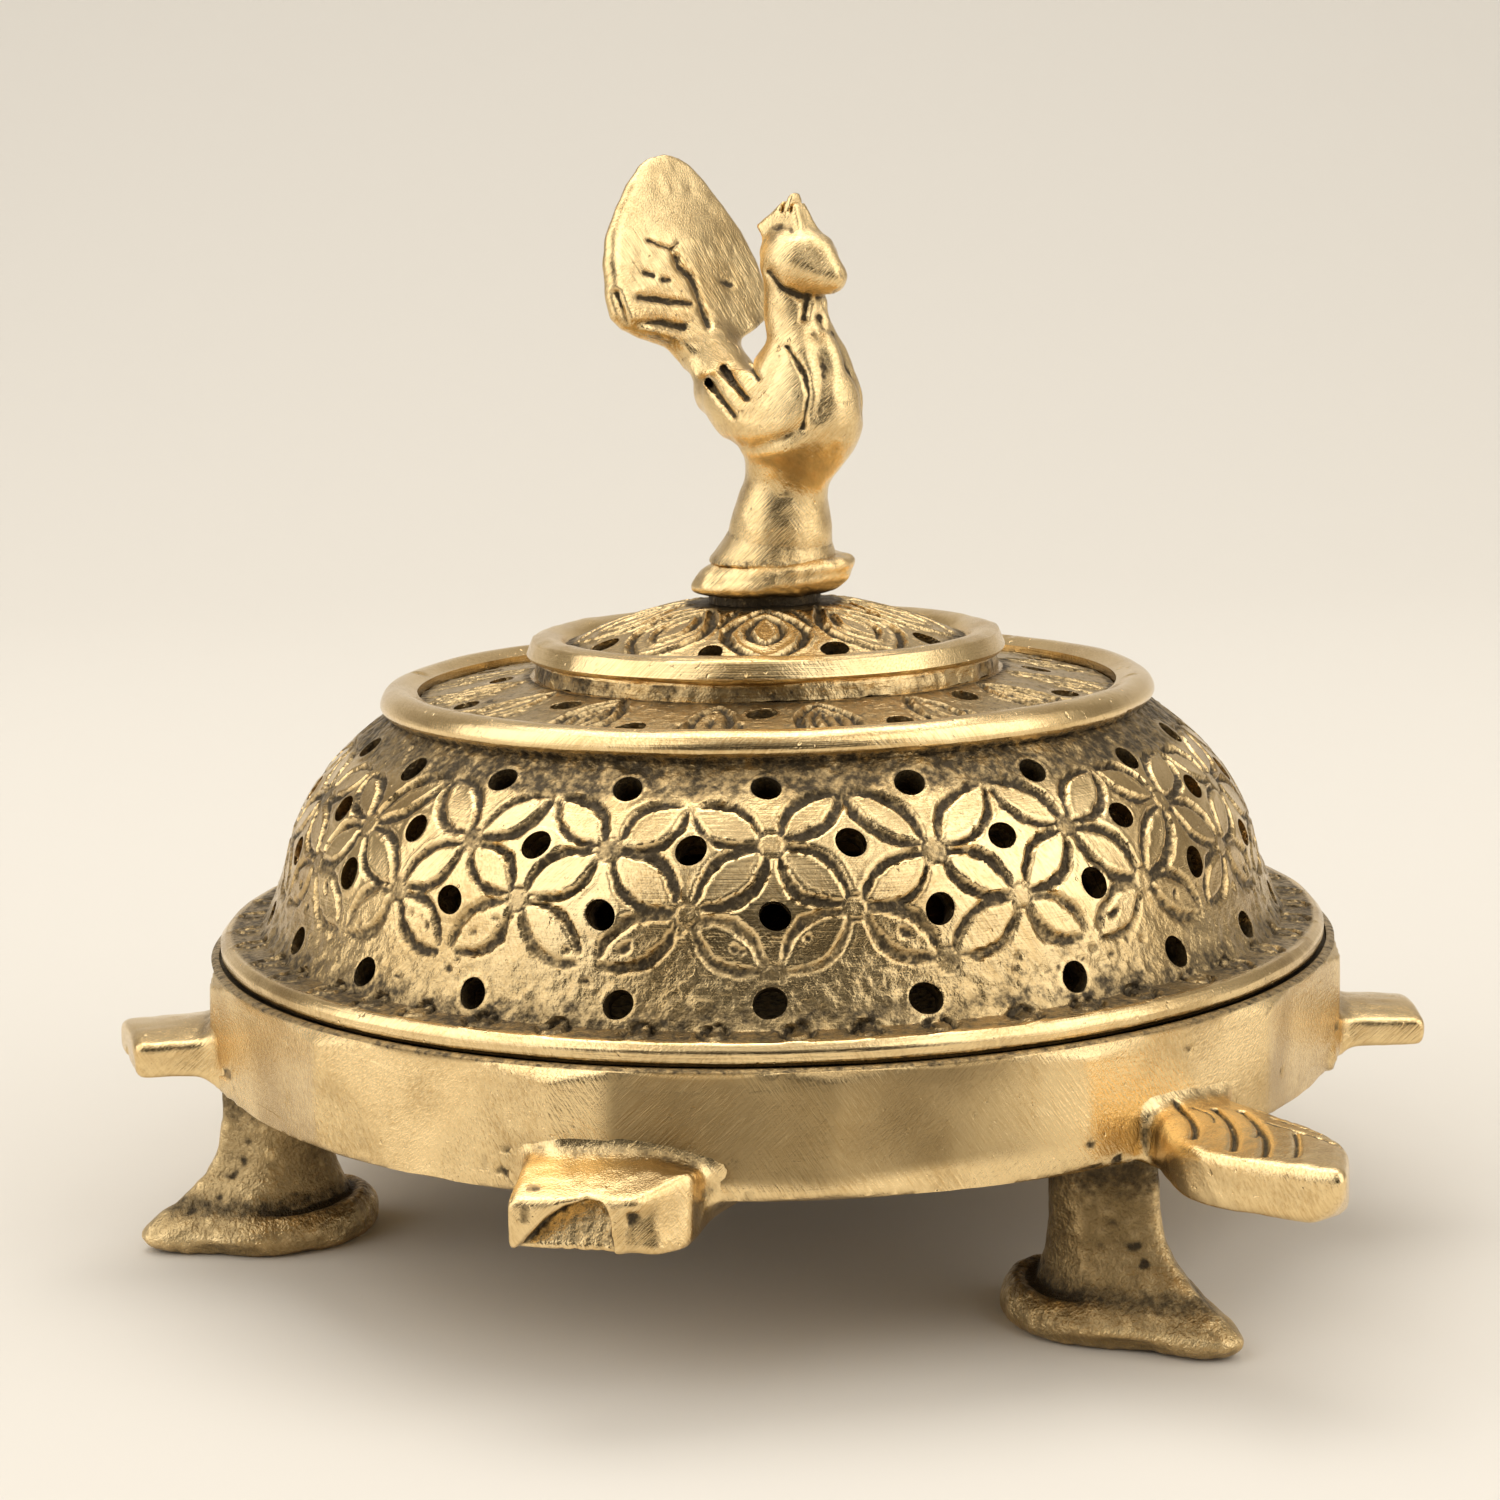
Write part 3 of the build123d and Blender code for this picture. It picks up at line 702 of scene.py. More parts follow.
# Node rows of the flower lattice from the top down: height, turn in half steps, clearness.
NODE_ROWS = [(55.0, 1, 0.7), (50.6, 0, 1.0), (45.1, 1, 0.95), (39.6, 0, 0.55)]
nodes = []
for height, half, clear in NODE_ROWS:
    row = []
    for k in range(FLOWERS):
        azimuth = lid_azimuth(k + 0.5 * half, FLOWERS, 0.45)
        row.append((azimuth, wall_reach(height + rng.normal(0, 0.28)), clear))
    nodes.append(row)


def petal(a, b, clear, radius, clear_top=False):
    """Lens of two carved arcs between two nodes."""
    (az_a, s_a, _), (az_b, s_b, _) = a, b
    span = math.hypot((az_b - az_a) * radius, s_b - s_a)
    open_side = rng.uniform(0.28, 0.5)
    for sign in (-1, 1):
        trim_a = rng.uniform(0.5, 1.0) / span if clear_top else rng.uniform(0.95, 1.5) / span
        trim_b = rng.uniform(0.95, 1.6) / span
        across = sign * open_side
        dx, ds = az_b - az_a, s_b - s_a
        side = np.array([-ds / span / radius, dx * radius / span]) * across
        start = np.array([az_a + dx * trim_a, s_a + ds * trim_a]) + side
        finish = np.array([az_b - dx * trim_b, s_b - ds * trim_b]) + side
        bulge = sign * rng.uniform(1.5, 1.95)
        half_width = rng.uniform(0.44, 0.68)
        depth = rng.uniform(0.45, 0.62)
        if clear < 0.75 and rng.uniform() < 0.35:
            finish = start + (finish - start) * rng.uniform(0.45, 0.8)
        dome.groove(arc(start, finish, bulge, radius), half_width, depth,
                    fade=min(1.0, clear + rng.uniform(-0.1, 0.2)))


# Wall radius and clearness of the petals between each row of nodes and the next.
for level, (radius, clear) in enumerate([(48.4, 1.0), (52.2, 1.0), (54.4, 0.75)]):
    for k in range(FLOWERS):
        upper_half = NODE_ROWS[level][1]
        neighbours = (k, (k + 1) % FLOWERS) if upper_half else ((k - 1) % FLOWERS, k)
        for n in neighbours:
            a, b = nodes[level][k], nodes[level + 1][n]
            turned_by = round((b[0] - a[0]) / (2 * math.pi)) * 2 * math.pi
            b = (b[0] - turned_by, b[1], b[2])
            petal(a, b, clear, radius, level == 0)
            if level == 2 and rng.uniform() < 0.55:
                # Small gouges inside the lower petals.
                middle = ((a[0] + b[0]) / 2, (a[1] + b[1]) / 2)
                shift = rng.uniform(-0.9, 0.9, 2)
                start = (middle[0] + shift[0] / radius, middle[1] + shift[1])
                finish = (start[0] + rng.uniform(-1.5, 1.5) / radius,
                          start[1] + rng.uniform(-1.2, 1.2))
                dome.groove(arc(start, finish, 0.2, radius, 4), rng.uniform(0.3, 0.45), 0.3)

# Crumbled spots of the worn casting round the lower flowers.
for k in range(150):
    azimuth = rng.uniform(0, 2 * math.pi)
    reach = wall_reach(rng.uniform(36.5, 44.0))
    finish = (azimuth + rng.uniform(-0.9, 0.9) / 54, reach + rng.uniform(-0.8, 0.8))
    dome.groove(arc((azimuth, reach), finish, 0.15, 54, 3), rng.uniform(0.22, 0.42),
                rng.uniform(0.16, 0.34), grime_and_shade=rng.uniform(0.6, 1.0))

for level in (1, 2, 3):
    for azimuth, reach, clear in nodes[level]:
        if level == 3 and rng.uniform() < 0.4:
            continue
        dome.dot(azimuth, reach, rng.uniform(1.1, 1.4), 0.28 * clear, 0.05, rng.uniform(0.25, 0.75))

# Leaf outlines on the flat of the flange.
FLANGE_LEAVES = 48
flange_low = float(dome.along[flange_rows[0]])
flange_high = float(dome.along[wall_start])
for k in range(FLANGE_LEAVES):
    azimuth = 2 * math.pi * (k + rng.uniform(-0.12, 0.12)) / FLANGE_LEAVES
    start = (azimuth, flange_low + 0.55 + rng.uniform(-0.1, 0.1))
    finish = (azimuth + 0.02 + rng.uniform(-0.006, 0.006), flange_high + 0.7)
    for bulge in (-1.5, 1.5):
        dome.groove(arc(start, finish, bulge, 59.6, 7), 0.36, 0.50, wall=0.3, burr=0.12)
    dome.groove([(azimuth, start[1] + 1.1), (azimuth, finish[1] - 0.7)], 0.22, 0.25, wall=0.25,
                burr=0.05)

# Rough cast zones under the ring and above the flange, and worn filing on the ring itself.
spots = dome.spots()
heights = dome.outline[None, :, 1] * np.ones((DOME_COLUMNS, 1))
rows_all = np.arange(len(dome.outline))
on_wall = (rows_all >= wall_start) & (rows_all <= ring_start)
on_ring = (rows_all > ring_start) & (rows_all <= ring_end)
on_flange = (rows_all >= flange_rows[0] - 6) & (rows_all < wall_start)
outside = (on_wall | on_ring | on_flange).astype(float)[None, :]
lumps = layered(spots, 1.5, 3)
speckle = noise(spots, 0.75, 8)
wave = layered(spots, 26.0, 5, 2)
top_zone = smoothstep(53.4, 55.6, heights) * on_wall
foot_zone = smoothstep(39.5, 35.0, heights) * on_wall
low_zone = smoothstep(45.5, 38.5, heights) * on_wall
rough_zone = np.clip(0.9 * top_zone + 0.8 * foot_zone + 0.5 * low_zone, 0, 1)
dome.height += 0.20 * rough_zone * lumps + 0.13 * rough_zone * speckle
dome.height += 0.16 * wave * outside
eaten = smoothstep(0.32, 0.62, layered(spots, 2.6, 17)) * (0.25 * low_zone + 0.6 * top_zone)
dome.height -= 0.28 * eaten
dome.darken(0.85 * eaten)
stains = 0.5 + 0.5 * layered(spots, 7.0, 9)
dome.darken(top_zone * np.clip(0.55 + 0.4 * stains - 0.3 * lumps, 0, 1))
dome.darken(foot_zone * np.clip(0.45 + 0.4 * stains - 0.3 * lumps, 0, 1))
dome.darken(0.42 * smoothstep(48.0, 37.0, heights) * on_wall)
flange_r = dome.outline[None, :, 0]
flange_top = on_flange * smoothstep(61.3, 60.5, flange_r) * (heights > 33.9)
dome.darken(flange_top * np.clip(0.5 + 0.4 * stains, 0, 1))
dome.darken(low_zone * smoothstep(0.45, 0.8, stains) * 0.5)
# Painted shade: a dark band where the wall meets the underside of the ring.
under_ring = smoothstep(57.2, 57.8, heights) * smoothstep(58.8, 58.2, heights) * outside
dome.darken(0.8 * under_ring)
nicks = smoothstep(0.55, 0.8, layered(spots, 3.4, 31)) * on_ring
dome.height += on_ring * (0.22 * layered(spots, 13.0, 41) - 0.18 * nicks)
flange_edge = (rows_all < flange_rows[0]) & (rows_all > flange_rows[0] - 12)
dome.height += flange_edge * 0.12 * layered(spots, 9.0, 43)
dome_wear = np.clip(on_ring * (1 - nicks), 0, 1)

# Vents: height, number, turn in half steps.
for height, count, half in ((55.5, FLOWERS, 0), (50.6, FLOWERS, 1), (44.8, FLOWERS, 0),
                            (36.6, 23, 0)):
    for k in range(count):
        azimuth = lid_azimuth(k + 0.5 * half, count, 0.35)
        dome.drill(azimuth, wall_reach(height + rng.normal(0, 0.22)),
                   VENT_RADIUS * rng.uniform(0.93, 1.04))
dome.piece("lid_dome_cast", "lid_dome", LID_BODY, "brass_lid", lid_metal, dome_wear)

# ---------------------------------------------------------------- lid, deck in the lower ring
DECK_COLUMNS = 840
deck_top = straight([(39.0, 59.2), (26.4, 61.4)], 0.30)
deck = Turned(joined(straight([(37.0, 57.2), (39.0, 57.2), (39.0, 59.2)], 1.0), deck_top,
                     straight([(26.4, 61.4), (23.8, 61.4), (23.8, 59.4), (37.0, 57.2)],
                              1.0))[:-1], DECK_COLUMNS)
deck_rows = np.arange(3, 3 + len(deck_top))


def deck_reach(radius):
    return deck.along_at(radius, deck_rows, 0)


DECK_PETALS = 16
for k in range(DECK_PETALS):
    azimuth = lid_azimuth(k + 0.5, DECK_PETALS, 0.8)
    tip, root = deck_reach(38.2), deck_reach(27.6 + rng.normal(0, 0.4))
    large = k % 2 == 0
    wide = 2.9 if large else 2.0
    for sign in (-1, 1):
        deck.groove(arc((azimuth, tip), (azimuth, root), sign * wide, 33), 0.46, 0.5, burr=0.14)
        if large:
            deck.groove(arc((azimuth, tip + 1.4), (azimuth, root - 1.6), sign * 1.4, 33), 0.36, 0.4,
                        burr=0.12)
        stray = azimuth + sign * math.radians(7.4)
        deck.groove(arc((stray, deck_reach(38)), (stray - sign * 0.03, deck_reach(33.4)),
                        sign * 0.7, 36), 0.38, 0.4)
    deck.groove([(azimuth, tip + 2.4), (azimuth, root - 3.0)], 0.3, 0.3)
deck_spots = deck.spots()
deck_face = np.isin(np.arange(len(deck.outline)), deck_rows).astype(float)[None, :]
deck_r = deck.outline[None, :, 0]
deck.height += deck_face * (0.16 * layered(deck_spots, 1.7, 51) + 0.14 * layered(deck_spots, 9, 52))
edge_zone = smoothstep(37.4, 38.6, deck_r) + smoothstep(28.4, 26.6, deck_r)
deck.darken(deck_face * np.clip(edge_zone * 0.85, 0, 1))
deck.darken(deck_face * smoothstep(0.1, 0.7, layered(deck_spots, 4, 53)) * .7)
deck.darken(deck_face * 0.48)
DECK_VENTS = 8
for k in range(DECK_VENTS):
    for radius, half in ((29.9, 0.0), (35.2, 0.5)):
        azimuth = lid_azimuth(k + half, DECK_VENTS, 1.0)
        deck.drill(azimuth, deck_reach(radius + rng.normal(0, 0.3)),
                   VENT_RADIUS * rng.uniform(.9, 1.05), 0.12)
deck.piece("lid_deck_cast", "lid_deck", LID_BODY, "brass_lid", ring_metal)

# ---------------------------------------------------------------- lid, crown with the upper ring
CROWN_COLUMNS = 640
crown_skirt = joined(straight([(23.4, 61.4), (26.0, 61.4)], 1.0),
                     straight([(26.0, 61.4), (25.7, 63.2)], 0.35))
crown_ring = joined(through([(25.7, 63.2), (26.5, 63.4), (26.9, 63.9)], 0.28),
                    straight([(26.9, 63.9), (26.2, 65.6)], 0.28),
                    through([(26.2, 65.6), (24.8, 66.0), (23.2, 65.6), (22.5, 64.7)], 0.28))
crown_top = through([(22.5, 64.7), (17.7, 66.7), (11.5, 68.5), (7.8, 69.1)], 0.28)
crown = Turned(joined(crown_skirt, crown_ring, crown_top,
                      straight([(7.8, 69.1), (6.3, 69.1), (6.3, 70.2), (2.55, 70.2), (2.55, 66.9),
                                (7.6, 66.9)], 0.8),
                      through([(7.6, 66.9), (11.5, 66.5), (17.2, 64.8), (22.0, 62.8), (23.4, 61.4)],
                              1.0))[:-1], CROWN_COLUMNS)
crown_ring_start = len(crown_skirt) - 1
crown_top_start = crown_ring_start + len(crown_ring) - 1
crown_rows = np.arange(crown_top_start, crown_top_start + len(crown_top))


def crown_reach(radius):
    return crown.along_at(radius, crown_rows, 0)


CROWN_PETALS = 9
for k in range(CROWN_PETALS):
    azimuth = lid_azimuth(k, CROWN_PETALS, 0.9)
    for root, tip, wide, half_width, depth in ((8.9, 21.6, 5.4, 0.55, 0.62),
                                               (11.0, 18.6, 2.5, 0.44, 0.5)):
        for sign in (-1, 1):
            crown.groove(arc((azimuth, crown_reach(tip)), (azimuth, crown_reach(root)),
                             sign * wide * 0.78, 15.5), half_width, depth, burr=0.16)
    between = azimuth + math.pi / CROWN_PETALS
    crown.groove([(between, crown_reach(14.4)), (between, crown_reach(9.0))], 0.5, 0.5)
crown_spots = crown.spots()
crown_index = np.arange(len(crown.outline))
crown_face = np.isin(crown_index, crown_rows).astype(float)[None, :]
ring_face = ((crown_index >= crown_ring_start) & (crown_index <= crown_top_start)).astype(float)
skirt_face = (crown_index < crown_ring_start).astype(float)[None, :]
crown_r = crown.outline[None, :, 0]
crown.height += crown_face * 0.05 * layered(crown_spots, 1.6, 61)
crown.height += ring_face * 0.24 * layered(crown_spots, 8.0, 62)
crown.height += skirt_face * 0.3 * layered(crown_spots, 2.0, 64)
crown_edge = smoothstep(20.2, 22.0, crown_r) + smoothstep(10.0, 8.4, crown_r)
crown.darken(crown_face * np.clip(crown_edge * 0.9, 0.3, 1))
crown.darken(smoothstep(8.6, 7.9, crown_r))
crown.darken(skirt_face * np.clip(0.55 + 0.5 * layered(crown_spots, 3, 63), 0, 1))
crown_wear = ring_face[None, :] * np.ones((CROWN_COLUMNS, 1))
for k in range(CROWN_PETALS):
    azimuth = lid_azimuth(k + 0.5, CROWN_PETALS, 1.2)
    crown.drill(azimuth, crown_reach(20.2 + rng.normal(0, 0.2)),
                VENT_RADIUS * rng.uniform(.9, 1.06), 0.12)
crown.piece("lid_crown_cast", "lid_crown", LID_BODY, "brass_lid", ring_metal, crown_wear)

# ---------------------------------------------------------------- bowl
BOWL_OUTSIDE = [(0.02, 10.4), (20, 11.0), (38, 13.3), (52, 16.2), (62.8, 19.2), (64.2, 20.4),
                (64.7, 24.4), (64.8, 28.0), (64.6, 30.5), (63.4, 31.7)]
BOWL_INSIDE = [(58.6, 30.6), (60.4, 28.0), (61.0, 25.4), (59.8, 22.9), (56.6, 21.0), (50, 19.2),
               (38, 16.5), (20, 14.2), (0.02, 13.6)]
BOWL_COLUMNS = 900
WALL_RADIUS = 64.7
RIM_CHAMFER = straight([(63.4, 31.7), (62.7, 32.0)], 0.3)
# The level seat under the lid's flange is inside this radius.
SEAT_RADIUS = 62.25
FACET_TURNS = np.array([-171, -147, -124, -97, -71, -45, -22, 2, 24, 47, 72, 96, 121, 150])
FACET_DEPTHS = np.array([1.8, 1.9, 2.3, 1.9, 1.9, 1.7, 1.8, 1.9, 1.8, 1.9, 1.8, 1.7, 1.9, 1.8])
FACET_TILTS = np.array([.02, -.02, -.05, .0, .01, -.01, .02, .01, .02, -.01, .02, .02, -.01, .01])


def flats(azimuth, height):
    """Radius at which the filed flats cut the bowl's wall, by azimuth in degrees."""
    reach = np.full(np.broadcast(azimuth, height).shape, 70.0)
    for turn, depth, tilt in zip(FACET_TURNS, FACET_DEPTHS, FACET_TILTS):
        away = np.radians((azimuth - turn + 180) % 360 - 180)
        near = np.abs(away) < 0.5
        flat = (WALL_RADIUS - depth + tilt * (height - 25)) / np.cos(np.where(near, away, 0.0))
        reach = smin(reach, np.where(near, flat, 70.0), 0.35)
    return reach


def azimuth_of(x, y):
    return np.degrees(np.arctan2(x, -y))


def bowl_waves(x, y, z):
    """Offset of the bowl's outside from its turned and filed shape."""
    spot = np.stack([x, y, z], -1)
    offset = 0.14 * noise(spot, 14.0, 71) + 0.05 * noise(spot, 4.0, 72)
    nub = heading(33.0) * 63.0
    gap = np.sqrt((x - nub[0]) ** 2 + (y - nub[1]) ** 2 + (z - 20.6) ** 2)
    return offset + 1.1 * smoothstep(2.0, 0.4, gap)


bowl_outer = joined(through(BOWL_OUTSIDE[:5], 0.42), through(BOWL_OUTSIDE[4:], 0.42))
bowl_outline = joined(bowl_outer, RIM_CHAMFER,
                      straight([(62.7, 32.0), (62.3, 32.0), (62.2, 32.0)], 0.4),
                      straight([(62.2, 32.0), (58.6, 32.0), (58.6, 30.6)], 0.8),
                      through(BOWL_INSIDE, 1.2))
bowl = Turned(bowl_outline, BOWL_COLUMNS)
bowl_spots = bowl.spots()
bowl_rows = np.arange(len(bowl_outline))
bowl_out = (bowl_rows < len(bowl_outer)).astype(float)[None, :]
offsets = bowl_waves(bowl_spots[..., 0], bowl_spots[..., 1], bowl_spots[..., 2])
bowl_flats = flats(azimuth_of(bowl_spots[..., 0], bowl_spots[..., 1]), bowl_spots[..., 2])
lean_out = np.maximum(bowl.normal[None, :, 0], 0.4)
offsets = offsets + np.minimum(bowl_flats - bowl.outline[None, :, 0], 0) / lean_out
near_axis = smoothstep(6.0, 14.0, bowl.outline[None, :, 0])
bowl.height += bowl_out * near_axis * offsets
on_rim = (bowl.outline[:, 0] < SEAT_RADIUS) & (bowl.outline[:, 1] > SEAT_Z - 0.1)
turn_spots = bowl_spots * np.array([1, 1, 0])
rim_drop = 0.55 + 0.3 * noise(turn_spots, 17.0, 75) + 0.10 * noise(turn_spots, 3.0, 76)
bowl.height -= on_rim[None, :] * np.clip(rim_drop, 0.15, 0.9)
bowl_z = bowl.outline[None, :, 1]
bowl.grime_and_shade = bowl_out * smoothstep(19.0, 14.0, bowl_z) * np.clip(
    0.55 + 0.5 * layered(bowl_spots, 6, 77), 0, 1)
bowl.darken((1 - bowl_out) * 0.62)
# Painted shade: the seat under the lid's flange is made fully dark, for the shaded gap between lid
# and bowl.
bowl.darken(on_rim[None, :] * 1.4)
pitted = smoothstep(0.50, 0.72, layered(bowl_spots, 2.4, 78)) * bowl_out
pitted = pitted * smoothstep(0.1, 0.5, noise(bowl_spots, 17, 79))
bowl.height -= 0.22 * pitted
bowl.darken(0.6 * pitted)


TABLE_RADII = (30, 92)
TABLE_HEIGHTS = (-2, 42)


def bowl_table(step=0.25):
    """Signed distance to the bowl's filled outline on a grid of radius and height."""
    edge = joined(bowl_outer, RIM_CHAMFER, straight([(62.7, 32.0), (0.0, 32.0)], 4.0))
    r = np.arange(*TABLE_RADII, step)
    z = np.arange(*TABLE_HEIGHTS, step)
    rr, zz = np.meshgrid(r, z, indexing="ij")
    best = np.full(rr.shape, 1e9)
    crossings = np.zeros(rr.shape, int)
    for (ar, az), (br, bz) in zip(edge[:-1], edge[1:]):
        dr, dz = br - ar, bz - az
        part = np.clip(((rr - ar) * dr + (zz - az) * dz) / (dr * dr + dz * dz), 0, 1)
        best = np.minimum(best, np.hypot(rr - ar - part * dr, zz - az - part * dz))
        spans = (az <= zz) != (bz <= zz)
        if dz != 0:
            crossings += spans & (rr < ar + (zz - az) * dr / dz)
    inside = crossings % 2 == 1
    return r, z, np.where(inside, -best, best)


TABLE_R, TABLE_Z, TABLE_D = bowl_table()


def bowl_field(x, y, z):
    """Signed distance to the bowl's filed outside, filled solid up to the seat."""
    r = np.hypot(x, y)
    step = TABLE_R[1] - TABLE_R[0]
    fr = np.clip((r - TABLE_R[0]) / step, 0, len(TABLE_R) - 1.001)
    fz = np.clip((z - TABLE_Z[0]) / step, 0, len(TABLE_Z) - 1.001)
    ir, iz = fr.astype(int), fz.astype(int)
    pr, pz = fr - ir, fz - iz
    value = (TABLE_D[ir, iz] * (1 - pr) * (1 - pz) + TABLE_D[ir + 1, iz] * pr * (1 - pz)
             + TABLE_D[ir, iz + 1] * (1 - pr) * pz + TABLE_D[ir + 1, iz + 1] * pr * pz)
    value = np.maximum(value, r - flats(azimuth_of(x, y), z))
    return value - bowl_waves(x, y, z) * smoothstep(6.0, 14.0, r)


# Spot-faced pads for the foot screws are faced on the inside.
PAD_Z = 21.6
PAD_RADIUS = 53.2
inner_face = (1 - bowl_out) * (bowl_z < 26)
for azimuth in FOOT_AZIMUTH.values():
    pad = heading(azimuth) * PAD_RADIUS
    gap = np.hypot(bowl_spots[..., 0] - pad[0], bowl_spots[..., 1] - pad[1])
    rise = (PAD_Z - bowl_z) * smoothstep(5.3, 4.9, gap) * inner_face
    bowl.height += np.clip(rise, 0, 2.2)
bowl_turn = azimuth_of(bowl_spots[..., 0], bowl_spots[..., 1])
by_root = np.zeros_like(bowl_z)
for root in LIMB_AZIMUTH.values():
    aside = (bowl_turn - root + 180) % 360 - 180
    by_root = np.maximum(by_root, np.exp(-((np.abs(aside) - 7.5) / 4.5) ** 2))
by_root = by_root * smoothstep(25.5, 22.0, bowl_z) * bowl_out
pits = smoothstep(0.12, 0.42, noise(bowl_spots, 1.3, 77) + 0.5 * noise(bowl_spots, 4.0, 78))
pits = pits * by_root
bowl.height -= 0.22 * pits
bowl.darken(0.9 * pits)
# Painted dark reflection: the upper wall between the head and the front right flipper is darkened
# for the dim room it faces.
painted_front_reflection = smoothstep(-54.5, -52.0, bowl_turn) * smoothstep(-8.0, -24.0, bowl_turn)
painted_front_reflection = painted_front_reflection * smoothstep(19.6, 21.6, bowl_z - 0.05 * (bowl_turn + 40)) * bowl_out
bowl.tarnish_and_shade = 0.95 * painted_front_reflection * np.clip(0.85 + 0.3 * layered(bowl_spots, 9.0, 74), 0, 1)
bowl.piece("bowl_cast", "bowl", BOWL_BODY, "brass_bowl", bowl_metal)


# ---------------------------------------------------------------- pieces made from solid fields
def field_piece(name, node, body, material, solid, low, high, step, place, rough=0.05,
                lumps=0.12, seed=1, rounds=14, gain=1.6, extra=None, tarnish_and_shade=0.0):
    """Builds a piece from a solid field in its own (u, v, z) directions. place turns those
    into the row frame."""
    u, v, z = grid(low, high, step)
    points, quads = skin(solid(u, v, z), low, step)
    normals = point_normals(points, quads)
    points = points + normals * (lumps * layered(points, 5.0, seed) + rough
                                 * noise(points, 1.2, seed + 3))[:, None]
    normals = point_normals(points, quads)
    # Darker in hollows: patina in the fine crevices, and painted shade in the broad recesses.
    fine = hollows(points, quads, normals, rounds)
    broad = hollows(points, quads, normals, rounds * 6)
    grime_and_shade = np.clip(gain * (fine * 7.0 + broad * 1.4), 0, 1)
    wear = np.clip(-fine * 9.0, 0, 1)
    if extra is not None:
        grime_and_shade = np.clip(np.maximum(grime_and_shade, extra(points)), 0, 1)
    placed = place(points)
    placed[:, 2] = np.maximum(placed[:, 2], 0.0)
    return mesh_piece(name, placed, [quads], node, body, material,
                      {"grime_and_shade": grime_and_shade, "wear": wear,
                       "tarnish_and_shade": tarnish_and_shade * np.clip(0.9 + 0.3 * layered(points, 6.0, 98), 0, 1)},
                      sharp=180.0)


def by_azimuth(azimuth):
    """Turns (outwards, sideways, up) into the row frame for a limb at an azimuth."""
    out = heading(azimuth)
    side = np.array([-out[1], out[0], 0.0])

    def place(points):
        return points[:, 0:1] * out + points[:, 1:2] * side + points[:, 2:3] * [[0, 0, 1]]

    return place


def spread(azimuth, u, v):
    """Row-frame x and y of grid points given outwards and sideways."""
    out = heading(azimuth)
    return u * out[0] - v * out[1], u * out[1] + v * out[0]


# ---------------------------------------------------------------- head, flippers and tail
FLARE = 2.4


def limb(azimuth, shape):
    """Field of a limb with its filed flare on the bowl's wall."""
    def solid(u, v, z):
        x, y = spread(azimuth, u, v)
        wall = bowl_field(x, y, z)
        limb_shape = shape(u, v, z)
        whole = smin(limb_shape, wall + 0.15, FLARE)
        whole = np.maximum(whole, limb_shape - FLARE)
        whole = np.maximum(whole, -(wall + 0.5))
        return np.maximum(whole, z - SEAT_Z + 0.8)
    return solid


# Strokes cut into the top of the head: start, middle, finish and width.
HEAD_STROKES = [
    ((63.7, -0.3), (68.4, -3.0), (71.4, -6.2), 0.38),
    ((66.4, 2.2), (72.2, -1.6), (76.4, -6.2), 0.42),
    ((68.4, 3.8), (75.0, -0.4), (79.8, -5.6), 0.42),
    ((77.1, 1.7), (79.9, -1.2), (82.2, -4.0), 0.28),
    ((73.4, 0.6), (74.6, -0.6), (75.6, -2.2), 0.24),
    ((64.9, 0.6), (67.6, 0.1), (70.0, -1.8), 0.16),
    ((73.0, 2.4), (78.0, 2.2), (82.9, 1.6), 0.17),
    ((71.6, 4.5), (76.0, 4.0), (80.6, 3.1), 0.17),
    ((68.6, 5.6), (71.5, 5.6), (74.0, 5.1), 0.15),
]


def head_shape(u, v, z):
    top = z - (24.0 - 0.008 * (u - 66) - 0.010 * (v + 1.5) ** 2)
    bottom = 18.2 + 0.25 * np.maximum(u - 84.5, 0) ** 2 - z
    # Sides and tip: one corner of the tip is further out than the other.
    solid = trimmed(top, (bottom, 0.7), (-v - 8.5, 1.0),
                    ((u - 64.0) * -0.55 - (v + 4.0) * 0.834, 2.0),
                    ((u - 78.2) * 0.36 - (v + 8.5) * 0.93, 1.4),
                    ((u - 66.6) * 0.158 + (v - 6.9) * 0.987, 0.8),
                    ((u - 77.2) * 0.44 + (v - 5.2) * 0.90, 1.0),
                    ((u - 83.5) * 0.784 + (v - 2.2) * 0.62, 1.4))
    for start, middle, finish, width in HEAD_STROKES:
        line = bent(start, middle, finish)
        solid = carved(solid, u, v, line, 0.8 * width, width * 1.5, z > 21.5)
    return solid


def head_grime(points):
    u, v, z = points.T
    marked = np.zeros(len(points))
    for start, middle, finish, width in HEAD_STROKES:
        gap = line_gap(u, v, bent(start, middle, finish))
        marked = np.maximum(marked, np.exp(-(gap / (0.7 * width)) ** 2) * (z > 21.5))
    return marked


ARCH_SIDEWAYS = [-6.8, -5.4, -3.6, -1.9, 0.1, 1.5, 2.3, 2.9]
ARCH_TOP = [16.4, 18.0, 19.8, 21.0, 21.6, 21.5, 20.8, 16.2]


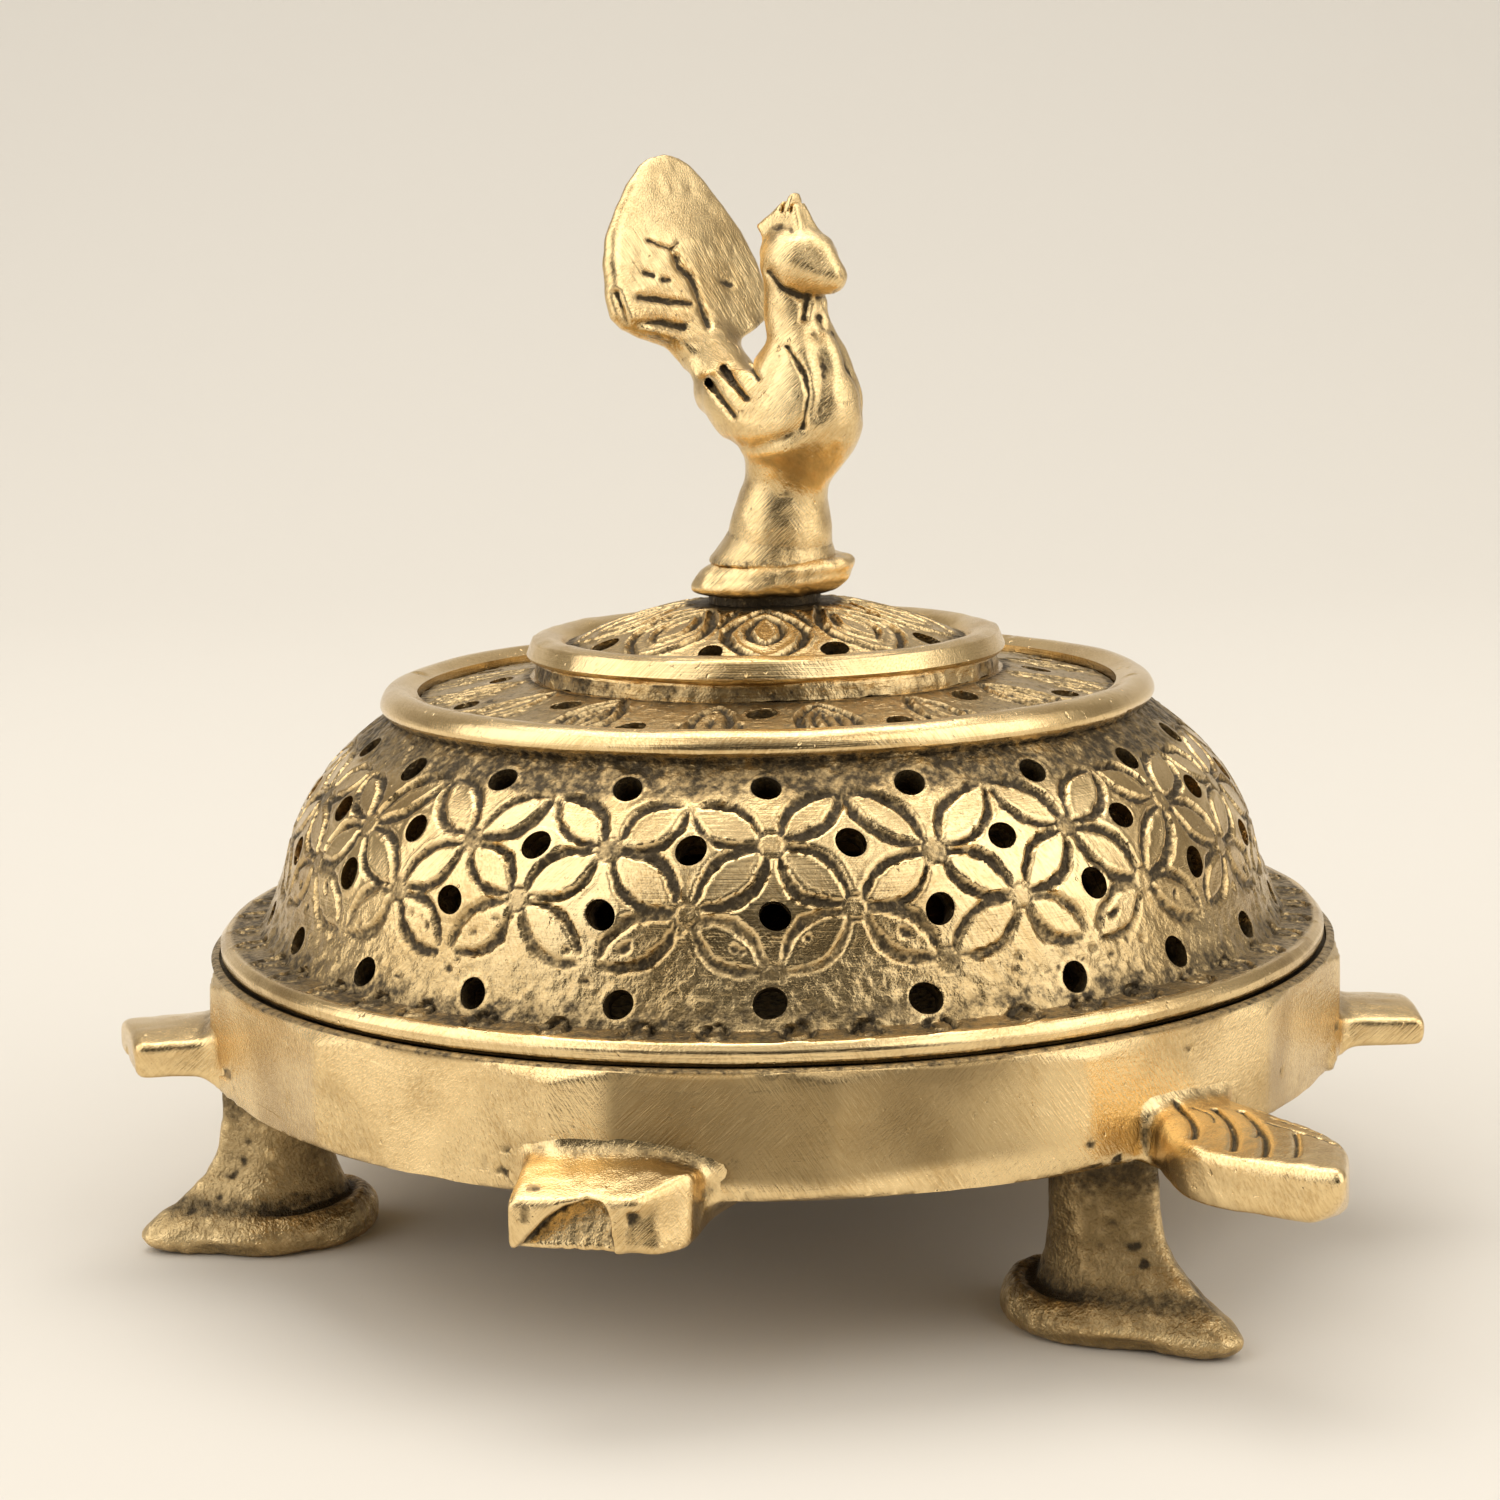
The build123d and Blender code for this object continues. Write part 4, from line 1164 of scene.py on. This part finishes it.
def front_flipper_shape(u, v, z):
    root = smoothstep(67.0, 62.5, u)
    top = (z - 23.4 + 0.018 * v * v * root) * 0.96 + (u - 66.2) * (0.28 - 0.17 * root)
    bottom = 16.5 - z
    solid = trimmed(top, (bottom, 0.6), (-v - 7.9 + 0.08 * (u - 64), 1.0), (v - 9.2, 1.0),
                    ((u - 71.9) * 0.99 + v * 0.08, 0.7),
                    ((u - 70.2) * 0.62 + (v - 6.4) * 0.70 + (z - 20.5) * 0.18, 0.5))
    # Arched hollow below the brow of the end face, and a second one past a standing ridge.
    arch = np.interp(v, ARCH_SIDEWAYS, ARCH_TOP)
    scoop = np.maximum((z - arch) * 0.7, (68.4 + (21.2 - z) * 0.52 - u) * 0.88)
    solid = smax(solid, -scoop, 0.7)
    notch = np.maximum(np.abs(v - 5.7) - 1.5, z - 20.6 + 0.1 * np.abs(v - 5.7))
    notch = smax(notch, 70.6 + (20.6 - z) * 0.16 - u, 0.8)
    solid = smax(solid, -notch, 1.0)
    for place in (-2.6, -1.3, 0.3, 1.3):
        solid = carved(solid, v, z, [(place, 15.0), (place + 0.1, 20.2)], 0.24, 0.09)
    return solid


def front_flipper_pits_and_shade(points):
    u, v, z = points.T
    arch = np.interp(v, ARCH_SIDEWAYS, ARCH_TOP)
    # Painted shade in the arched hollow under the brow; the pits beside it are real pitting.
    inside = smoothstep(0.1, 0.9, arch - z) * smoothstep(71.9, 71.0, u) * (np.abs(v + 2) < 5)
    pits = smoothstep(0.1, 0.6, noise(points, 1.1, 97)) * smoothstep(67.5, 69.5, u)
    pits = pits * np.maximum(smoothstep(-3.0, -5.0, v) * (z > 18), (v > 3.5) * 0.7)
    return np.maximum(0.42 * inside, 0.6 * pits * (z < 22.4))


def plain_flipper(reach_to, top_z, bottom_z, root, tip, skew):
    def shape(u, v, z):
        reach = np.clip((u - 58) / (reach_to - 58), 0, 1)
        half = root + (tip - root) * reach
        top = z - (top_z - 0.02 * v * v - 0.4 * reach)
        bottom = (bottom_z + 0.5 * reach) - z
        end = (u - reach_to) + skew * v
        dent = capsule(u, v, z, (reach_to + 1.0, -1.5, bottom_z - 1.0),
                       (reach_to - 1.5, -1.0, bottom_z + 0.8), 2.0, 1.8)
        return trimmed(top, (bottom, 0.8), (np.abs(v) - half, 0.7), (end, 1.2), (-dent, 0.6))
    return shape


def tail_shape(u, v, z):
    reach = np.clip((u - 58) / 29, 0, 1)
    half = 6.4 - 4.0 * reach**1.2
    top = z - (24.0 - 1.2 * reach**2 - 0.03 * v * v)
    bottom = (19.4 + 0.8 * reach) - z
    return trimmed(top, (bottom, 0.9), (np.abs(v) - half, 1.0), (u - 86.6, 1.2))


# Shape, lowest and highest corners of its box along, across and up, grid step, and its own grime
# and painted shade.
LIMBS = {
    "head": (head_shape, (52, -14, 13), (91, 14, 29), 0.22, head_grime),
    "flipper_front_right": (front_flipper_shape, (52, -14, 12), (78, 14, 28), 0.26,
                            front_flipper_pits_and_shade),
    "flipper_front_left": (plain_flipper(72.2, 24.5, 20.0, 7.2, 6.0, 0.12), (52, -13, 15),
                           (77, 13, 30), 0.26, None),
    "flipper_rear_right": (plain_flipper(72.7, 26.1, 20.8, 7.6, 6.4, 0.1), (52, -13, 17),
                           (78, 13, 31), 0.26, None),
    "flipper_rear_left": (plain_flipper(72.7, 26.1, 20.8, 7.6, 6.4, -0.1), (52, -13, 17),
                          (78, 13, 31), 0.26, None),
    "tail": (tail_shape, (52, -12, 15), (90, 12, 29), 0.26, None),
}
for number, (name, (shape, low, high, step, grime_and_shade)) in enumerate(LIMBS.items()):
    azimuth = LIMB_AZIMUTH[name]
    field_piece(name + "_cast", name, BOWL_BODY, lobe_metal, limb(azimuth, shape),
                low, high, step, by_azimuth(azimuth), rough=0.04, lumps=0.14, seed=100 + number,
                gain=0.9, extra=grime_and_shade)


# ---------------------------------------------------------------- feet
UPPER_Z = [2.0, 4.0, 6.0, 8.0, 10.0, 12.0, 14.0, 17.0, 26.0]
UPPER_BACK = [46.8, 47.3, 48.2, 48.9, 49.2, 49.3, 49.4, 49.4, 49.4]
UPPER_FRONT = [71.0, 69.3, 66.7, 64.4, 63.1, 62.5, 62.2, 62.0, 62.0]
UPPER_HALF = [8.0, 6.5, 5.7, 5.35, 5.2, 5.1, 5.1, 5.1, 5.1]


def foot_solid(azimuth, turn_in, shift, short):
    """Shoe foot: a rounded sole that narrows to a point outwards, a flared upper and a stem."""
    def solid(u, v, z):
        x, y = spread(azimuth, u, v)
        wall = bowl_field(x, y, z)
        head = head_shape(u, v, z) if azimuth == LIMB_AZIMUTH["head"] else None
        u = 72.0 - (72.0 - u) * short
        v = v - turn_in * (u - 55) - shift
        heel = (np.sqrt(((u - 54.6) / 10.4) ** 2 + (v / 9.2) ** 2) - 1) * 9.2
        toe = (np.sqrt(((u - 62.5) / 9.5) ** 2 + ((v - 0.3) / 4.7) ** 2) - 1) * 4.7
        sole = smin(heel, toe, 3.0)
        lip = np.exp(-((sole + 1.5) / 1.3) ** 2)
        sole = smax(sole, z - (3.0 + 1.1 * lip + 0.04 * np.clip(58 - u, -10, 12)), 1.6)
        sole = smax(sole, -z, 1.8)
        back = np.interp(z, UPPER_Z, UPPER_BACK)
        front = np.interp(z, UPPER_Z, UPPER_FRONT)
        wide = np.interp(z, UPPER_Z, UPPER_HALF)
        middle = (back + front) / 2
        narrow = wide * (1 - 0.5 * smoothstep(0.0, 1.0, (u - middle) / (front - middle)))
        upper = np.sqrt(((u - middle) / (front - back) * 2) ** 2 + (v / narrow) ** 2) - 1
        upper = smax(upper * 5.2, 2.0 - z, 0.6)
        whole = smin(sole, upper, 1.3)
        limbs = wall if head is None else head
        return np.maximum(whole, -(np.minimum(limbs, wall) + 0.2))
    return solid


def foot_grime_and_shade(points):
    band = np.exp(-((points[:, 2] - 5.0) / 1.5) ** 2) * 0.62
    blotch = 0.24 + 0.3 * layered(points, 7.0, 91)
    # Painted shadow: the top of the stem, under the bowl, is made darker.
    top = smoothstep(10.0, 17.5, points[:, 2]) * 0.66
    return np.maximum(band, np.maximum(blotch, top))


# Turn inwards, sideways shift, shortening, and painted shade: each foot darkened for how it is lit.
FEET = {"foot_front": (0.05, -1.9, 1.0, 1.0), "foot_rear_right": (0.14, 1.6, 1.07, 0.55),
        "foot_rear_left": (-0.04, 0.3, 1.0, 0.8)}
for number, (name, (turn_in, shift, short, foot_shade)) in enumerate(FEET.items()):
    azimuth = FOOT_AZIMUTH[name]
    field_piece(name + "_cast", name, BOWL_BODY, foot_metal,
                foot_solid(azimuth, turn_in, shift, short), (43, -14, -1), (74, 14, 25), 0.28,
                by_azimuth(azimuth), rough=0.10, lumps=0.22, seed=200 + 7 * number, gain=1.5,
                extra=foot_grime_and_shade, tarnish_and_shade=foot_shade)


# ---------------------------------------------------------------- finial
FINIAL_HEADING = 6.5


def collar_solid(u, v, z):
    """Lumpy cushion that the bird stands on; its foot sags to one side."""
    slide = -1.0 + 0.62 * (z - 70.3)
    cu, cv = 1.2 + 0.707 * slide, 0.707 * slide
    r = np.hypot(u - cu, v - cv)
    angle = np.arctan2(v - cv, u - cu)
    outer = 8.6 + 0.3 * np.sin(3 * angle + 0.8) + 0.25 * np.sin(5 * angle)
    lean = 0.03 * (u + v)
    solid = trimmed(r - outer, (z - (74.0 + lean), 2.4),
                    ((70.25 + 0.3 * smoothstep(6.5, 9, r)) - z, 1.6))
    waist = np.exp(-((z - 72.4 - lean) / 0.6) ** 2)
    return solid + 0.16 * waist


def bird_body(u, v, z):
    tilt_u = (u - 7.0) * 0.94 - (z - 106.7) * 0.34
    tilt_z = (u - 7.0) * 0.34 + (z - 106.7) * 0.94
    foot = capsule(u, v, z, (2.0, 0, 73.2), (2.6, 0, 76.5), 7.6, 5.6)
    return grown(smax(foot, 73.55 - z, 0.4),
                 (capsule(u, v, z, (2.6, 0, 76.0), (3.2, 0, 79.5), 5.0, 4.4), 2.0),
                 (capsule(u, v, z, (3.2, 0, 79.5), (4.0, 0, 84.0), 4.3, 4.5), 2.0),
                 (ellipsoid(u, v, z, (6.1, 0, 90.6), (7.6, 6.4, 7.9)), 2.5),
                 (capsule(u, v, z, (7.3, 0, 96.5), (6.0, 0, 101.0), 4.2, 3.0), 1.8),
                 (capsule(u, v, z, (5.5, 0, 101.0), (6.0, 0, 105.5), 3.1, 3.7), 1.5),
                 # Head, beak and cheeks.
                 (ellipsoid(tilt_u, v, tilt_z, (-0.3, 0, -0.1), (5.3, 3.7, 3.6)), 0.8),
                 (capsule(u, v, z, (8.4, 0, 106.4), (11.2, 0, 104.9), 2.9, 1.7), 1.2),
                 (ellipsoid(u, v, z, (6.6, -2.3, 106.4), (3.2, 2.1, 3.0)), 0.5),
                 (ellipsoid(u, v, z, (6.6, 2.3, 106.4), (3.2, 2.1, 3.0)), 0.5))


def bird_crest(u, v, z):
    """Crest swept up from the back of the head to a point, split at its tip."""
    comb = trimmed((u - 0.6) * -0.584 + (z - 110.3) * 0.811,
                   ((u - 6.4) * 0.894 + (z - 113.6) * 0.447, 0.4), (108.6 - z, 0.5),
                   (1.1 - u + 0.9 * (110.6 - z), 0.4),
                   (np.abs(v) - 1.9 + 0.22 * (z - 109), 0.6))
    for place in (4.9, 6.2):
        slit = np.maximum(np.abs(u - place - 0.2 * (z - 112)) - 0.2, 111.9 - z)
        comb = smax(comb, -slit, 0.15)
    return comb


def bird_wings(u, v, z):
    """Folded wings along the body, swept up behind to the tail's root."""
    rise = 0.30 * (5.0 - u)
    return ellipsoid(u, np.abs(v), z - rise, (2.8, 4.5, 89.6), (7.4, 2.6, 4.6))


FAN_LEAN = math.radians(16.5)
FAN_FOOT = -8.4
FAN_SWEEP = math.tan(math.radians(6.4))
FAN_REACH = [-1.0, 0.9, 2.2, 3.3, 4.6, 7.6, 10.6, 13.8, 17.1, 19.6, 21.2, 22.4, 23.2]
FAN_HALF = [3.0, 5.2, 8.4, 10.7, 11.8, 12.0, 11.5, 10.3, 8.1, 5.9, 4.3, 2.7, 0.0]


def fan_frame(u, v, z):
    """Distance up the fan's middle line, and off its swept-back face."""
    along = (z - 97.0) * math.cos(FAN_LEAN) - (u - FAN_FOOT) * math.sin(FAN_LEAN)
    off = (u - FAN_FOOT) * math.cos(FAN_LEAN) + (z - 97.0) * math.sin(FAN_LEAN)
    return along, off + (np.sqrt(v * v + 9.0) - 3.0) * FAN_SWEEP


def bird_fan(u, v, z):
    along, off = fan_frame(u, v, z)
    half = np.interp(along, FAN_REACH, FAN_HALF)
    thick = 1.5 - 0.8 * np.clip(along / 18, 0, 1)
    edge = smax((np.abs(v) - half) * 0.85, along - 23.1, 1.5)
    return trimmed(np.abs(off) - thick, (edge, 1.0), (-1.6 - along, 1.0))


def bird_stalk(u, v, z):
    flat = v * 0.62
    stalk = capsule(u, flat, z, (3.5, 0, 89.0), (-4.2, 0, 92.2), 3.9, 3.0)
    return smin(stalk, capsule(u, flat, z, (-4.2, 0, 92.2), (-8.2, 0, 97.6), 3.0, 2.2), 1.2)


# Lines carved into the bird, as (right, up) seen from its front right side, and mirrored on the
# other side: line, width, depth.
BIRD_LINES = [
    ([(2.5, 97.4), (1.6, 95.6), (-0.8, 91.9), (-1.5, 90.5)], 0.7, 0.22),
    ([(3.1, 97.5), (4.8, 94.6), (5.2, 92.5), (4.5, 89.0)], 0.30, 0.45),
    ([(6.0, 98.8), (6.9, 95.0), (6.3, 90.6)], 0.95, 0.45),
    ([(-5.7, 93.7), (-2.9, 90.2)], 0.34, 0.6),
    ([(-4.0, 95.0), (-1.6, 92.1)], 0.40, 0.75),
    ([(-1.2, 95.7), (-0.2, 94.2)], 0.40, 0.5),
    ([(-3.3, 87.0), (-0.9, 86.9), (2.5, 87.9), (4.4, 89.0)], 0.8, 0.28),
    ([(1.3, 105.6), (2.7, 103.8), (4.4, 102.9)], 0.45, 0.45),
    ([(5.2, 102.6), (4.9, 100.6)], 0.45, 0.6),
    ([(6.5, 100.6), (7.0, 99.4)], 0.45, 0.5),
]
# Cracks and feather slots in the fan's face, as seen from the same side.
FAN_LINES = [
    ([(-12.2, 109.3), (-10.9, 108.7), (-9.7, 108.3), (-9.2, 107.3)], 0.24, 0.3),
    ([(-9.2, 107.3), (-8.9, 106.3), (-7.6, 105.2), (-7.0, 103.4), (-6.4, 101.3), (-5.7, 99.6)],
     0.42, 0.34),
    ([(-9.7, 108.3), (-9.0, 109.0)], 0.2, 0.25),
    ([(-13.2, 103.1), (-10.8, 102.7), (-7.6, 102.2)], 0.38, 0.34),
    ([(-13.4, 100.2), (-11.2, 100.3), (-8.6, 99.7)], 0.5, 0.5),
    ([(-15.7, 103.4), (-15.1, 101.6), (-14.6, 99.6)], 0.5, 0.8),
    ([(-12.6, 105.8), (-11.6, 105.4)], 0.28, 0.2),
    ([(-10.6, 105.0), (-9.9, 104.9)], 0.28, 0.25),
    ([(-4.0, 104.6), (-3.0, 104.2)], 0.35, 0.2),
]


def peacock_solid(u, v, z):
    solid = grown(bird_body(u, v, z), (bird_stalk(u, v, z), 1.8), (bird_wings(u, v, z), 0.5),
                  (bird_fan(u, v, z), 1.4), (bird_crest(u, v, z), 0.5))
    across = (u - np.abs(v)) * 0.7071
    body_part = smoothstep(-9.5, -7.0, u)
    for line, width, depth in BIRD_LINES:
        solid = carved(solid, across, z, line, width, depth, body_part)
    along, off = fan_frame(u, v, z)
    face = smoothstep(0.0, 0.5, off) * smoothstep(-1.0, -3.0, u)
    across = (u + v) * 0.7071
    for line, width, depth in FAN_LINES:
        solid = carved(solid, across, z, line, width, depth, face)
    for side in (-1, 1):
        gap = ((u - 11.2) / 1.3) ** 2 + ((v - side * 2.6) / 1.3) ** 2 + ((z - 107.2) / 1.2) ** 2
        solid = solid + 0.8 * np.exp(-gap)
    return solid


def bird_grime(points):
    u, v, z = points.T
    foot = smoothstep(75.4, 73.6, z) * 0.6
    along, off = fan_frame(u, v, z)
    fan = smoothstep(-0.5, 1.0, along) * smoothstep(8.5, 2.0, along) * (off > 0) * (u < -3)
    right = smoothstep(-0.5, 1.0, along) * smoothstep(17.0, 9.0, along) * (v > 0.5) * (u < -3)
    fan = np.maximum(fan, 0.6 * right) * np.clip(0.45 + 0.5 * layered(points, 3.0, 93), 0, 1) * 0.8
    neck = smoothstep(0.2, 0.75, layered(points, 3.2, 95)) * smoothstep(94, 98, z) * (u > 0) * 0.5
    return np.maximum(foot, np.maximum(fan, neck))


field_piece("finial_collar_cast", "finial_collar", FINIAL_BODY, finial_metal,
            collar_solid, (-10, -11, 69), (12.5, 11, 76), 0.26, by_azimuth(FINIAL_HEADING),
            rough=0.10, lumps=0.22, seed=301, gain=1.6, tarnish_and_shade=0.2)
field_piece("peacock_cast", "peacock", FINIAL_BODY, finial_metal, peacock_solid,
            (-22, -14.5, 72), (15.5, 14.5, 120), 0.26, by_azimuth(FINIAL_HEADING), rough=0.05,
            lumps=0.22, seed=302, gain=1.5, extra=bird_grime, tarnish_and_shade=0.22)


# ---------------------------------------------------------------- fasteners kept from the CAD
for node in ("foot_screws", "foot_washers", "finial_stud", "finial_washer", "finial_nut"):
    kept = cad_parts[node]
    kept.data.materials.clear()
    kept.data.materials.append(fastener_metal)


# ---------------------------------------------------------------- studio
VIEW_AZIMUTH = -38.5
FLOOR_REACH = 8000.0
PAPER_BACK = 1500.0
PAPER_BEND = 900.0
PAPER_TOP = 2600.0
ROOM_BRIGHT = 1.0
ROOM_DIM = 0.03
facing = heading(VIEW_AZIMUTH)
rightward = np.array([-facing[1], facing[0], 0.0])


def studio_point(right, away, up):
    """Row-frame place from directions seen by the camera, in mm."""
    return Vector((rightward * right - facing * away + np.array([0, 0, up])) * MM)


def backdrop():
    """Floor that curves up behind the object."""
    start = PAPER_BACK - PAPER_BEND
    line = [(-FLOOR_REACH, 0.0), (start, 0.0)]
    for angle in np.linspace(4, 90, 22):
        turn = math.radians(angle)
        line.append((start + PAPER_BEND * math.sin(turn), PAPER_BEND * (1 - math.cos(turn))))
    line.append((PAPER_BACK, PAPER_TOP))
    points = []
    for side in (-FLOOR_REACH, FLOOR_REACH):
        points += [studio_point(side, away, up) for away, up in line]
    count = len(line)
    faces = [(k, k + 1, count + k + 1, count + k) for k in range(count - 1)]
    mesh = bpy.data.meshes.new("backdrop")
    mesh.from_pydata(points, [], faces)
    mesh.polygons.foreach_set("use_smooth", np.ones(len(faces), bool))
    mesh.materials.append(Shader("backdrop_paper").finished(
        {"Base Color": (0.70, 0.668, 0.612, 1), "Roughness": 0.9, "Specular IOR Level": 0.2}))
    paper = bpy.data.objects.new("backdrop", mesh)
    bpy.context.scene.collection.objects.link(paper)


def softbox(name, place, aim, width, height, power):
    data = bpy.data.lights.new(name, "AREA")
    data.shape = "RECTANGLE"
    data.size = width * MM
    data.size_y = height * MM
    data.energy = power
    data.color = (1, 0.98, 0.95)
    light = bpy.data.objects.new(name, data)
    bpy.context.scene.collection.objects.link(light)
    light.location = studio_point(*place)
    direction = studio_point(*aim) - light.location
    light.rotation_euler = direction.to_track_quat("-Z", "Y").to_euler()


def studio_world():
    """Soft room light: bright behind and above the object, dim on the side it is seen from."""
    made = bpy.data.worlds.new("studio")
    made.use_nodes = True
    tree = made.node_tree
    place = tree.nodes.new("ShaderNodeTexCoord")
    toward = tree.nodes.new("ShaderNodeVectorMath")
    toward.operation = "DOT_PRODUCT"
    toward.inputs[1].default_value = tuple(facing * 0.85 + np.array([0, 0, -0.5]))
    tree.links.new(place.outputs["Generated"], toward.inputs[0])
    dim = tree.nodes.new("ShaderNodeMapRange")
    dim.interpolation_type = "SMOOTHSTEP"
    dim.inputs["From Min"].default_value = -0.5
    dim.inputs["From Max"].default_value = 0.75
    dim.inputs["To Min"].default_value = ROOM_BRIGHT
    dim.inputs["To Max"].default_value = ROOM_DIM
    tree.links.new(toward.outputs["Value"], dim.inputs["Value"])
    background = tree.nodes["Background"]
    background.inputs["Color"].default_value = (1.0, 0.94, 0.85, 1)
    tree.links.new(dim.outputs["Result"], background.inputs["Strength"])
    return made


backdrop()
softbox("left_box", (-1230, -430, 820), (0, 0, 60), 1900, 1890, 13.0)
softbox("right_box", (1130, -650, 820), (0, 0, 60), 1500, 1890, 12.6)
softbox("top_box", (-80, 450, 1300), (0, 0, 0), 1200, 800, 7.6)
bpy.context.scene.world = studio_world()
bpy.context.scene.view_settings.view_transform = "Standard"

CAMERA_PLACE = Vector((-207.3, -260.6, 106.3)) * MM
CAMERA_AIM = Vector((-1.8, 1.0, 52.2)) * MM
CAMERA_ROLL = math.radians(-1.27)
camera_data = bpy.data.cameras.new("camera")
camera_data.lens = 71.46
camera_data.sensor_width = 36.0
camera_data.clip_start = 0.01
camera = bpy.data.objects.new("camera", camera_data)
bpy.context.scene.collection.objects.link(camera)
look = (CAMERA_AIM - CAMERA_PLACE).to_track_quat("-Z", "Y").to_matrix().to_4x4()
camera.matrix_world = (Matrix.Translation(CAMERA_PLACE) @ look
                       @ Matrix.Rotation(CAMERA_ROLL, 4, "Z"))
bpy.context.scene.camera = camera
